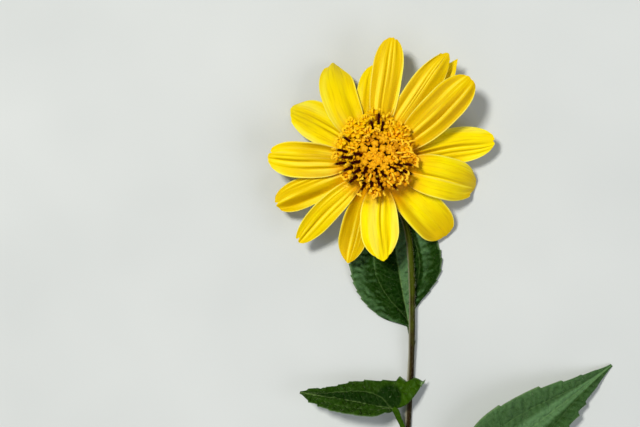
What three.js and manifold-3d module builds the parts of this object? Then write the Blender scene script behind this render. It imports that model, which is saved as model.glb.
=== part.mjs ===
// A cut flower of the jerusalem artichoke: a yellow flower head of the sunflower family on its
// stem with three leaves, lying on its back on a table with its face turned up.
// Millimetres. X runs to the flower's right, Y from the cut end towards the top of the head, and
// Z up from the table.
import * as THREE from "three";
import { mergeVertices } from "three/addons/utils/BufferGeometryUtils.js";
import Module from "manifold-3d";

const wasm = await Module();
wasm.setup();

// The head: its face is centred over X = 0, Y = 0 while the flower is laid out.
const HEAD_CENTRE = [-0.9, -1.4, 15.2]; // middle of the plane of the ray feet
const HEAD_LEAN_UP = 8; // degrees that the face turns towards +Y
const HEAD_LEAN_RIGHT = 4; // degrees that the face turns towards +X
const FIT_GAP = 0.3; // clearance between neighbouring pieces

// The receptacle, a shallow cup below and a low dome above
const RECEPTACLE_RADIUS = 9;
const RECEPTACLE_DEPTH = 5;
const RECEPTACLE_SIDES = 28;
// Radius and depth, as a share of the full depth, from the stem up to the rim
const CUP_PROFILE = [[0, 1], [1.7, 1], [3.4, 0.82], [6.2, 0.62], [8.2, 0.36], [9, 0.12]];
const DOME_HEIGHT = 3;
const DOME_DROP = 2.4; // how much lower the dome is at its rim
const DOME_RINGS = [1, 0.85, 0.65, 0.4, 0.2, 0]; // radii of its rings, as a share of the rim's

// Ray florets
const RAY_FOOT_RADIUS = RECEPTACLE_RADIUS + FIT_GAP;
const RAY_THICKNESS = 0.4;
const RAY_HANDLE = 0.36; // length of the spine's end tangents, as a share of the ray's reach
// foot: where the ray leaves the rim, in degrees from +X. level: height of its foot over the rim.
// tip: where it ends. width: at its widest, which is at the share fullAt of its length. blunt: how
// round the tip is, smaller for rounder. lift and dip: slope of the spine at foot and tip. sway:
// sideways bow of the spine. roll: turn about the spine at foot and tip. fold: how far both
// halves rise from the midline. All angles are in degrees.
const RAYS = [
  {
    foot: 80, level: 0.5, tip: [4.9, 39.0, 16.5], lift: 14, dip: -8, sway: 3,
    width: 10.2, fullAt: 0.66, blunt: 0.5, roll: [0, 0], fold: 4,
  },
  {
    foot: 58, level: 0, tip: [23.2, 34.0, 14.5], lift: 12, dip: -6, sway: 2,
    width: 9.8, fullAt: 0.6, blunt: 0.6, roll: [0, 14], fold: 8,
  },
  {
    foot: 43, level: -0.9, tip: [27.0, 32.6, 11], lift: 2, dip: -6, sway: -2,
    width: 8, fullAt: 0.6, blunt: 0.8, roll: [0, 0], fold: 2,
  },
  {
    foot: 27, level: 0.6, tip: [30.7, 25.5, 17.5], lift: 18, dip: -10, sway: -3,
    width: 12.7, fullAt: 0.66, blunt: 0.5, roll: [0, -6], fold: 6,
  },
  {
    foot: 5, level: -0.7, tip: [39.5, 5.0, 8.6], lift: -11, dip: -4, sway: 5,
    width: 12.2, fullAt: 0.6, blunt: 0.5, roll: [0, 5], fold: -3,
  },
  {
    foot: -22, level: 0.8, tip: [33.8, -10.4, 0.12], lift: 34, dip: -78, sway: 3,
    width: 14.2, fullAt: 0.62, blunt: 0.5, roll: [0, 0], fold: -3,
  },
  {
    foot: -53, level: -0.5, tip: [24.1, -27.3, 2.6], lift: 2, dip: -60, sway: 3,
    width: 13.6, fullAt: 0.66, blunt: 0.5, roll: [0, 0], fold: -7,
  },
  {
    foot: -82, level: 0.7, tip: [1.9, -35.4, 17], lift: 16, dip: -14, sway: -8,
    width: 12.8, fullAt: 0.6, blunt: 0.66, roll: [0, 0], fold: -6,
  },
  {
    foot: -105, level: -0.5, tip: [-9.9, -36.4, 9], lift: -3, dip: -14, sway: -6,
    width: 9.6, fullAt: 0.66, blunt: 0.7, roll: [0, 10], fold: 14,
  },
  {
    foot: -127, level: 0.1, tip: [-26.5, -29.3, 12], lift: 6, dip: -8, sway: -6,
    width: 8.6, fullAt: 0.66, blunt: 0.5, roll: [0, -20], fold: 6,
  },
  {
    foot: -149, level: -0.6, tip: [-34.2, -16.6, 9], lift: 2, dip: -10, sway: -2,
    width: 10.2, fullAt: 0.68, blunt: 0.45, roll: [0, 0], fold: 5,
  },
  {
    foot: -173, level: 0.5, tip: [-36.8, -0.6, 13], lift: 14, dip: -14, sway: 2,
    width: 12.1, fullAt: 0.64, blunt: 0.5, roll: [0, 0], fold: -5,
  },
  {
    foot: 148, level: -0.4, tip: [-29.5, 15.8, 0.2], lift: 2, dip: -52, sway: -8,
    width: 12.8, fullAt: 0.52, blunt: 0.6, roll: [0, 0], fold: -6,
  },
  {
    foot: 125, level: 0.4, tip: [-15, 31.7, 0.16], lift: 20, dip: -64, sway: 12,
    width: 11.8, fullAt: 0.6, blunt: 0.75, roll: [0, 0], fold: -9,
  },
  {
    foot: 102, level: -1.4, tip: [-1.2, 30.6, 8], lift: -8, dip: -14, sway: 4,
    width: 9.2, fullAt: 0.6, blunt: 0.7, roll: [0, 0], fold: 4,
  },
];
const RAY_NECK = 0.2; // width at the foot, as a share of the full width
const RAY_END_WIDTH = 0.12; // width left at the very tip, as a share of the full width
const RAY_SHOULDER = 2.2; // higher keeps the full width longer before the tip narrows
const RAY_FOLDED_AT = 1 / 3; // share of the length where the fold is complete
const RAY_CROWDING = 1.1; // cross sections stand closer towards the rounded tip
const RAY_STEPS = 10;
const RAY_STRIPS = 4;

// Disc florets in the golden-angle spiral, the first of them still in bud
const FLORET_COUNT = 75;
const BUD_COUNT = 13;
const FLORET_ROWS = 13;
const BUD_STEP = 5;
const GOLDEN_ANGLE = 137.508;
const FLORET_FIELD_RADIUS = 8.3;
const FLORET_LEAN = 40; // degrees that the outermost florets lean outwards
const FLORET_LENGTH = 6.3; // at the centre
const FLORET_LENGTH_GAIN = 3.2; // more than that at the rim
const FLORET_SIDES = 5;
// Radius and height, as a share of the floret's length
const FLORET_PROFILE = [[0, 0], [0.5, 0], [0.55, 0.45], [1.2, 0.85], [0, 1]];
const BUD_PROFILE = [[0, 0], [0.45, 0], [0.9, 0.75], [0, 1]];
const LINK_WIDTH = 0.5; // the chaff that joins the florets of one row at their feet
const LINK_HEIGHT = 1;

// Bracts behind the head, in three rings
const BRACT_THICKNESS = 0.6;
const BRACT_OUTLINE = [0.55, 0.93, 0.96, 0.47, 0.24, 0.14]; // widths at even steps from the foot
const BRACT_REACH = 0.92; // how far out the tip is, as a share of the length
const BRACT_RISE = 0.06; // how far it rises with the head, as a share of the length
const BRACT_DROOP = 0.45; // how much of the dip is left in the tip's height
const BRACT_FOLD = 6; // degrees that both halves rise
const BRACT_STRIPS = 2;
const BRACTS_PER_RING = 7;
const BRACT_RINGS = [
  { name: "outer", first: 0, foot: [4.6, -5.0], length: 13.5, width: 3.4, lift: 2, dip: -54 },
  { name: "middle", first: 17, foot: [6.9, -3.75], length: 12.5, width: 3.6, lift: 12, dip: -36 },
  { name: "inner", first: 34, foot: [8.7, -2.6], length: 9.5, width: 3.2, lift: 4, dip: -26 },
];

// Stem: the middle line from the cut end to the receptacle
const STEM_RADIUS = 1.2;
const STEM_SIDES = 10;
const STEM_STEPS = 56;
const STEM_LINE = [
  [10.6, -151, 1.25],
  [10.3, -132.4, 1.25],
  [9.9, -117, 1.25],
  [9.9, -103.4, 1.25],
  [10.5, -92.2, 1.25],
  [11.1, -81.3, 1.32],
  [11.6, -71, 2],
  [11.8, -62.5, 2.95],
  [11.9, -51.6, 3.4],
  [11.8, -42.7, 4],
  [11.4, -35.2, 4.3],
  [10.7, -28, 4.4],
  [8.6, -20, 4.3],
  [5.3, -12.4, 4.2],
  [1.9, -6.2, 5.1],
  [-0.8, -2.9, 7.2],
  [-1.26, -2.2, 9.7],
];

// Leaves. line: the middle line from the foot of the stalk to the tip. stalk: its share of that
// line. left and right: half widths at even steps along the blade. roll: turn about the middle
// line, left edge up, at the blade's base and tip. fold: rise of both halves there. lobe: how far
// the blade's edges sweep back past its base, left and right.
const LEAF_THICKNESS = 0.5;
const STALK_THICKNESS = 1.3;
const STALK_HALF_WIDTH = 0.75;
const STALK_STATIONS = 0.2; // share of a leaf's cross sections that its stalk takes
const BLADE_CROWDING = 1.3; // cross sections stand closer at the blade's base
const BLADE_OPEN_AT = 0.1; // share of the blade where it has opened to its roll and fold
const LOBE_SHARE = 0.45; // share of the blade whose edges sweep back
const LEAF_STEPS = 20;
const LEAF_STRIPS = 6;
const LEAVES = {
  leaf_upper: {
    line: [
      [11.75, -62.8, 0.66], [10.9, -58, 0.7], [9.2, -48.2, 0.7], [7.5, -38.3, 0.8],
      [6.1, -28.4, 0.8], [4.5, -18.3, 0.9], [2.8, -8.1, 1.4],
    ],
    stalk: 1 / 6,
    left: [0.8, 8.4, 13, 15.3, 16.4, 16.2, 14.8, 12.4, 9, 4.8, 0.6],
    right: [0.8, 2.4, 8.2, 12.8, 14.8, 14.8, 13.6, 11.4, 8.2, 4.3, 0.6],
    roll: [0, 0],
    fold: [3, 1],
    lobe: [0, 0],
  },
  leaf_left: {
    line: [
      [9.0, -97.2, 3.15], [8.8, -92.4, 4.6], [7.3, -88.6, 6.6], [5.5, -85.3, 9],
      [0.2, -84.2, 9.6], [-5.1, -83.1, 9.8], [-10.4, -82.1, 9.7], [-15.6, -81.3, 9.4],
      [-20.9, -80.5, 8.8], [-26.1, -79.8, 8],
    ],
    stalk: 3 / 9,
    left: [0.8, 4, 6, 7.2, 8, 8.3, 8, 7, 5.2, 2.8, 0.5],
    right: [0.8, 10.5, 10.8, 9.8, 8.4, 6.9, 5.5, 4.2, 3, 1.7, 0.5],
    roll: [46, 46],
    fold: [24, 8],
    lobe: [1, 17],
  },
  leaf_right: {
    line: [
      [12.9, -136, 1.6], [16.3, -127.5, 3.8], [22.5, -119.5, 6.2], [31.2, -110.3, 8.1],
      [40.2, -101.4, 9], [49.8, -93.3, 8.7], [59.9, -85.7, 6.9], [70.1, -78.4, 3.7],
      [80.1, -71.2, 0.4],
    ],
    stalk: 2 / 8,
    left: [0.8, 5.5, 9.8, 12.6, 13.5, 12.8, 10.8, 8.2, 5.2, 2.6, 0.5],
    right: [0.8, 4.5, 8.2, 10.8, 11.6, 11, 9.2, 6.9, 4.4, 2.2, 0.5],
    roll: [0, 0],
    fold: [8, 4],
    lobe: [0, 0],
  },
};

// Moves the laid-out flower so that the origin is under the middle of its box.
const FRAME_SHIFT = [-21.77, 55.94, 0];

const MERGE_DISTANCE = 1e-4; // points nearer than this are one point

const UP = new THREE.Vector3(0, 0, 1);
const radians = THREE.MathUtils.degToRad;

const headTurn = new THREE.Euler(-radians(HEAD_LEAN_UP), radians(HEAD_LEAN_RIGHT), 0);
const headFrame = new THREE.Matrix4().makeRotationFromEuler(headTurn).setPosition(...HEAD_CENTRE);

// A point of the head from its distance to the axis, its angle in degrees and its height
function headPoint(radius, angle, height) {
  const turn = radians(angle);
  const point = new THREE.Vector3(radius * Math.cos(turn), radius * Math.sin(turn), height);
  return point.applyMatrix4(headFrame);
}

// Height of the dome that carries the disc florets
function domeHeight(radius) {
  return DOME_HEIGHT - DOME_DROP * (radius / RECEPTACLE_RADIUS) ** 2;
}

// A direction from its heading in the table's plane, in radians, and its slope in degrees
function slopeVector(heading, slope) {
  const rise = radians(slope);
  return new THREE.Vector3(
    Math.cos(rise) * Math.cos(heading),
    Math.cos(rise) * Math.sin(heading),
    Math.sin(rise),
  );
}

// Spine of a ray or bract: leaves the foot at one slope and arrives at the tip at another
function archedSpine(foot, tip, lift, dip, sway) {
  const reach = foot.distanceTo(tip);
  const heading = Math.atan2(tip.y - foot.y, tip.x - foot.x);
  const leave = slopeVector(heading + radians(sway), lift).multiplyScalar(reach * RAY_HANDLE);
  const arrive = slopeVector(heading - radians(sway), dip).multiplyScalar(reach * RAY_HANDLE);
  return new THREE.CubicBezierCurve3(foot, foot.clone().add(leave), tip.clone().sub(arrive), tip);
}

// The point of a folded blade at u along its spine and v across it, from -1 to 1 at the left edge
function bladePoint(spine, u, v, halfWidth, roll, fold) {
  const along = spine.getTangent(u);
  const side = UP.clone().cross(along).normalize();
  const normal = along.clone().cross(side);
  const turn = roll + fold * Math.sign(v);
  const reach = v * halfWidth;
  return spine.getPoint(u)
    .addScaledVector(side, reach * Math.cos(turn))
    .addScaledVector(normal, reach * Math.sin(turn));
}

// A closed sheet round the surface that point(u, v) gives, with thickness(u) along its normal
function closedSheet(point, thickness, steps, strips) {
  const STEP = 0.01;
  const positions = [];
  const faces = [];
  const row = strips + 1;
  const layer = (steps + 1) * row;
  for (const sideSign of [1, -1]) {
    for (let i = 0; i <= steps; i += 1) {
      for (let j = 0; j <= strips; j += 1) {
        const u = i / steps;
        const v = (2 * j) / strips - 1;
        const u0 = Math.max(u - STEP, 0);
        const u1 = Math.min(u + STEP, 1);
        const v0 = Math.max(v - STEP, -1);
        const v1 = Math.min(v + STEP, 1);
        const alongStep = point(u1, v).sub(point(u0, v));
        const acrossStep = point(u, v1).sub(point(u, v0));
        const normal = alongStep.cross(acrossStep).normalize();
        const place = point(u, v).addScaledVector(normal, (sideSign * thickness(u)) / 2);
        positions.push(place.x, place.y, place.z);
      }
    }
  }
  const quad = (a, b, c, d) => faces.push(a, b, c, a, c, d);
  for (let i = 0; i < steps; i += 1) {
    for (let j = 0; j < strips; j += 1) {
      const a = i * row + j;
      quad(a, a + row, a + row + 1, a + 1);
      quad(layer + a, layer + a + 1, layer + a + row + 1, layer + a + row);
    }
    const left = i * row + strips;
    const right = i * row;
    quad(left, left + row, layer + left + row, layer + left);
    quad(right + row, right, layer + right, layer + right + row);
  }
  for (let j = 0; j < strips; j += 1) {
    const end = steps * row + j;
    quad(j, j + 1, layer + j + 1, layer + j);
    quad(end + 1, end, layer + end, layer + end + 1);
  }
  const geometry = new THREE.BufferGeometry();
  geometry.setAttribute("position", new THREE.Float32BufferAttribute(positions, 3));
  geometry.setIndex(faces);
  return geometry;
}

// Width of a ray along its length: a narrow claw, a long full part and a rounded tip
function rayFullness(ray, u) {
  if (u < ray.fullAt) {
    return RAY_NECK + (1 - RAY_NECK) * (1 - (1 - u / ray.fullAt) ** 3);
  }
  const rest = (u - ray.fullAt) / (1 - ray.fullAt);
  return Math.max((1 - rest ** RAY_SHOULDER) ** ray.blunt, RAY_END_WIDTH);
}

function rayGeometry(ray) {
  const foot = headPoint(RAY_FOOT_RADIUS, ray.foot, ray.level);
  const spine = archedSpine(foot, new THREE.Vector3(...ray.tip), ray.lift, ray.dip, ray.sway);
  const point = (s, v) => {
    const u = Math.sin((s * Math.PI) / 2) ** RAY_CROWDING;
    const roll = radians(THREE.MathUtils.lerp(ray.roll[0], ray.roll[1], u));
    const fold = radians(ray.fold) * Math.min(1, u / RAY_FOLDED_AT);
    return bladePoint(spine, u, v, (ray.width / 2) * rayFullness(ray, u), roll, fold);
  };
  return closedSheet(point, () => RAY_THICKNESS, RAY_STEPS, RAY_STRIPS);
}

// Reads a list of values at even steps, on a smooth curve through them
function smoothValue(values, t) {
  const line = new THREE.SplineCurve(values.map((value, i) => new THREE.Vector2(i, value)));
  return line.getPoint(t).y;
}

function bractGeometry(ring, angle) {
  const [radius, height] = ring.foot;
  const foot = headPoint(radius, angle, height);
  const reach = ring.length * BRACT_REACH;
  const tip = headPoint(radius + reach, angle, height + ring.length * BRACT_RISE);
  tip.z += ring.length * Math.sin(radians(ring.dip)) * BRACT_DROOP;
  const spine = archedSpine(foot, tip, ring.lift, ring.dip, 0);
  const fold = radians(BRACT_FOLD);
  const point = (u, v) => {
    const halfWidth = (ring.width / 2) * smoothValue(BRACT_OUTLINE, u);
    return bladePoint(spine, u, v, halfWidth, 0, fold);
  };
  return closedSheet(point, () => BRACT_THICKNESS, BRACT_OUTLINE.length - 1, BRACT_STRIPS);
}

function leafGeometry(leaf) {
  const spine = new THREE.CatmullRomCurve3(leaf.line.map((p) => new THREE.Vector3(...p)));
  const point = (s, v) => {
    const pastStalk = Math.max(0, (s - STALK_STATIONS) / (1 - STALK_STATIONS));
    const onBlade = pastStalk ** BLADE_CROWDING;
    const onStalk = Math.min(1, s / STALK_STATIONS);
    const u = leaf.stalk * onStalk + (1 - leaf.stalk) * onBlade;
    const widths = v > 0 ? leaf.left : leaf.right;
    const halfWidth = onBlade > 0 ? smoothValue(widths, onBlade) : STALK_HALF_WIDTH;
    const opened = Math.min(1, onBlade / BLADE_OPEN_AT);
    const roll = radians(THREE.MathUtils.lerp(leaf.roll[0], leaf.roll[1], onBlade)) * opened;
    const fold = radians(THREE.MathUtils.lerp(leaf.fold[0], leaf.fold[1], onBlade)) * opened;
    const lobe = v > 0 ? leaf.lobe[0] : leaf.lobe[1];
    const back = lobe * Math.abs(v) * Math.max(0, 1 - onBlade / LOBE_SHARE) * opened;
    const place = bladePoint(spine, u, v, halfWidth, roll, fold);
    return place.addScaledVector(spine.getTangent(u), -back);
  };
  const thickness = (s) => (s < STALK_STATIONS ? STALK_THICKNESS : LEAF_THICKNESS);
  return closedSheet(point, thickness, LEAF_STEPS, LEAF_STRIPS);
}

function stemGeometry() {
  const path = new THREE.CatmullRomCurve3(STEM_LINE.map((p) => new THREE.Vector3(...p)));
  const section = new THREE.Shape();
  for (let i = 0; i < STEM_SIDES; i += 1) {
    const turn = (2 * Math.PI * i) / STEM_SIDES;
    const move = i === 0 ? "moveTo" : "lineTo";
    section[move](STEM_RADIUS * Math.cos(turn), STEM_RADIUS * Math.sin(turn));
  }
  const settings = { steps: STEM_STEPS, bevelEnabled: false, extrudePath: path };
  return new THREE.ExtrudeGeometry(section, settings);
}

// Turned about the head's axis, with its middle line along +Z
function turned(profile, sides) {
  const points = profile.map(([radius, height]) => new THREE.Vector2(radius, height));
  return new THREE.LatheGeometry(points, sides).rotateX(Math.PI / 2);
}

function receptacleGeometry() {
  const cup = CUP_PROFILE.map(([radius, depth]) => [radius, -depth * RECEPTACLE_DEPTH]);
  const dome = DOME_RINGS.map((share) => {
    const radius = RECEPTACLE_RADIUS * share;
    return [radius, domeHeight(radius)];
  });
  return turned([...cup, ...dome], RECEPTACLE_SIDES).applyMatrix4(headFrame);
}

// Where a disc floret stands, which way it leans and how long it is
function floretPlace(index) {
  const share = Math.sqrt((index + 0.5) / FLORET_COUNT);
  const radius = FLORET_FIELD_RADIUS * share;
  return {
    radius,
    angle: index * GOLDEN_ANGLE,
    height: domeHeight(radius) + FIT_GAP,
    lean: FLORET_LEAN * share,
    length: FLORET_LENGTH + FLORET_LENGTH_GAIN * share,
  };
}

function floretGeometry(place, profile) {
  const outline = profile.map(([radius, share]) => [radius, share * place.length]);
  const shape = turned(outline, FLORET_SIDES);
  shape.rotateY(radians(place.lean));
  shape.translate(place.radius, 0, place.height);
  return shape.rotateZ(radians(place.angle));
}

// Low wall of chaff between the feet of two florets
function linkGeometry(place, other) {
  const [a, b] = [place, other].map((p) => {
    const turn = radians(p.angle);
    return new THREE.Vector3(p.radius * Math.cos(turn), p.radius * Math.sin(turn), p.height);
  });
  const run = b.clone().sub(a);
  const wall = new THREE.BoxGeometry(run.length(), LINK_WIDTH, LINK_HEIGHT);
  wall.rotateY(-Math.asin(run.z / run.length()));
  wall.rotateZ(Math.atan2(run.y, run.x));
  const middle = a.add(b).multiplyScalar(0.5);
  return wall.translate(middle.x, middle.y, middle.z + LINK_HEIGHT / 2);
}

function solidFrom(geometry) {
  const bare = geometry.clone();
  bare.deleteAttribute("normal");
  bare.deleteAttribute("uv");
  const merged = mergeVertices(bare, MERGE_DISTANCE);
  return new wasm.Manifold(new wasm.Mesh({
    numProp: 3,
    vertProperties: Float32Array.from(merged.attributes.position.array),
    triVerts: Uint32Array.from(merged.index.array),
  }));
}

function joined(geometries) {
  const solids = geometries.map(solidFrom);
  const whole = solids.reduce((sum, solid) => sum.add(solid));
  const mesh = whole.getMesh();
  const geometry = new THREE.BufferGeometry();
  geometry.setAttribute("position", new THREE.BufferAttribute(mesh.vertProperties, 3));
  geometry.setIndex(new THREE.BufferAttribute(mesh.triVerts, 1));
  return geometry;
}

// One spiral row of open florets, each a whole turn of neighbours further out than the last
function floretRowGeometry(first) {
  const pieces = [];
  for (let index = first; index < FLORET_COUNT; index += FLORET_ROWS) {
    const place = floretPlace(index);
    pieces.push(floretGeometry(place, FLORET_PROFILE));
    if (index > first) {
      pieces.push(linkGeometry(place, floretPlace(index - FLORET_ROWS)));
    }
  }
  return joined(pieces).applyMatrix4(headFrame);
}

function budGeometry() {
  const pieces = [];
  for (let index = 0; index < BUD_COUNT; index += 1) {
    const place = floretPlace(index);
    pieces.push(floretGeometry(place, BUD_PROFILE));
    if (index > 0) {
      pieces.push(linkGeometry(place, floretPlace(Math.max(0, index - BUD_STEP))));
    }
  }
  return joined(pieces).applyMatrix4(headFrame);
}

const petal = { color: 0xf7d414, roughness: 0.55, metalness: 0 };
const floret = { color: 0xe0a015, roughness: 0.6, metalness: 0 };
const bud = { color: 0xb9a126, roughness: 0.6, metalness: 0 };
const bract = { color: 0x4d6b2c, roughness: 0.7, metalness: 0 };
const flesh = { color: 0x7d8f45, roughness: 0.7, metalness: 0 };
const stalk = { color: 0x66652f, roughness: 0.6, metalness: 0 };
const blade = { color: 0x37552b, roughness: 0.65, metalness: 0 };

const flower = new THREE.Group();

function addPiece(name, geometry, look) {
  const mesh = new THREE.Mesh(geometry, new THREE.MeshStandardMaterial(look));
  mesh.name = name;
  flower.add(mesh);
}

const number = (value) => String(value).padStart(2, "0");

RAYS.forEach((ray, i) => addPiece(`ray_${number(i + 1)}`, rayGeometry(ray), petal));

addPiece("receptacle", receptacleGeometry(), flesh);
addPiece("disc_buds", budGeometry(), bud);
for (let row = 0; row < FLORET_ROWS; row += 1) {
  addPiece(`floret_row_${number(row + 1)}`, floretRowGeometry(BUD_COUNT + row), floret);
}

for (const ring of BRACT_RINGS) {
  for (let i = 0; i < BRACTS_PER_RING; i += 1) {
    const angle = ring.first + (360 * i) / BRACTS_PER_RING;
    addPiece(`bract_${ring.name}_${i + 1}`, bractGeometry(ring, angle), bract);
  }
}

addPiece("stem", stemGeometry(), stalk);
for (const [name, leaf] of Object.entries(LEAVES)) {
  addPiece(name, leafGeometry(leaf), blade);
}

flower.position.set(...FRAME_SHIFT);

export default flower;
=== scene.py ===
"""A cut jerusalem artichoke flower with its leafy stem, lying on its back on a pale floor.

Sizes are in millimetres while a piece is shaped, and in metres once its mesh is made.
"""

import math
from types import SimpleNamespace

import bpy
import numpy as np
from mathutils import Matrix, Vector


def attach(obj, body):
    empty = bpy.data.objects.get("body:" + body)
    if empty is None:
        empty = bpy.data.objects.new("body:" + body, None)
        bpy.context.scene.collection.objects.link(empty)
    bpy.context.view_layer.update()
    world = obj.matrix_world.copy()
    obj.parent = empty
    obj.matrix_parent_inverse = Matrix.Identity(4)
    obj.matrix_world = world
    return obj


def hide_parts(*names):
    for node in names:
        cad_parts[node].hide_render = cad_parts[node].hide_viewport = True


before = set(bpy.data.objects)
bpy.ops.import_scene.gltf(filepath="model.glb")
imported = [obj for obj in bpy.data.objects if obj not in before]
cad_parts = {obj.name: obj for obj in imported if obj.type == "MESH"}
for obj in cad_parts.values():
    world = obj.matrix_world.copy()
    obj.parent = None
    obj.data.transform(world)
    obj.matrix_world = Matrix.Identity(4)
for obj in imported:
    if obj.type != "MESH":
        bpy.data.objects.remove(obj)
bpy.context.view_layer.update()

bl_info = {
    "name": "Jerusalem artichoke flower",
    "version": (1, 0, 0),
    "blender": (4, 5, 0),
    "location": "View3D > Sidebar > Flower",
    "description": "Models a cut flower head with petals, disc florets, bracts, stem and leaves",
    "category": "Add Mesh",
}

MM = 0.001
FRAME_SHIFT = np.array([-21.77, 55.94, 0.0])  # from the laid-out flower to the frame
UP = np.array([0.0, 0.0, 1.0])
NEARLY_UP = UP + 0.01  # never lies along a hair that stands straight up
UV_SPAN = 100.0  # millimetres of surface that one UV unit covers
BODY = "root"


def linear(code):
    """Turns an sRGB hex value into linear red, green and blue."""
    channels = [int(code[i : i + 2], 16) / 255 for i in (1, 3, 5)]
    return tuple(c / 12.92 if c <= 0.04045 else ((c + 0.055) / 1.055) ** 2.4 for c in channels)


# The head
HEAD_CENTRE = np.array([-0.9, -1.4, 15.2])
HEAD_LEAN_UP = math.radians(8)
HEAD_LEAN_RIGHT = math.radians(4)
HEAD_TURN = np.array(
    Matrix.Rotation(-HEAD_LEAN_UP, 3, "X") @ Matrix.Rotation(HEAD_LEAN_RIGHT, 3, "Y")
)
RECEPTACLE_RADIUS = 9.0
RECEPTACLE_DEPTH = 5.0
DOME_HEIGHT = 3.0  # at the middle of the dome
DOME_DROP = 2.4  # from there to its rim
FIT_GAP = 0.3  # between the receptacle and the florets on it

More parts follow.
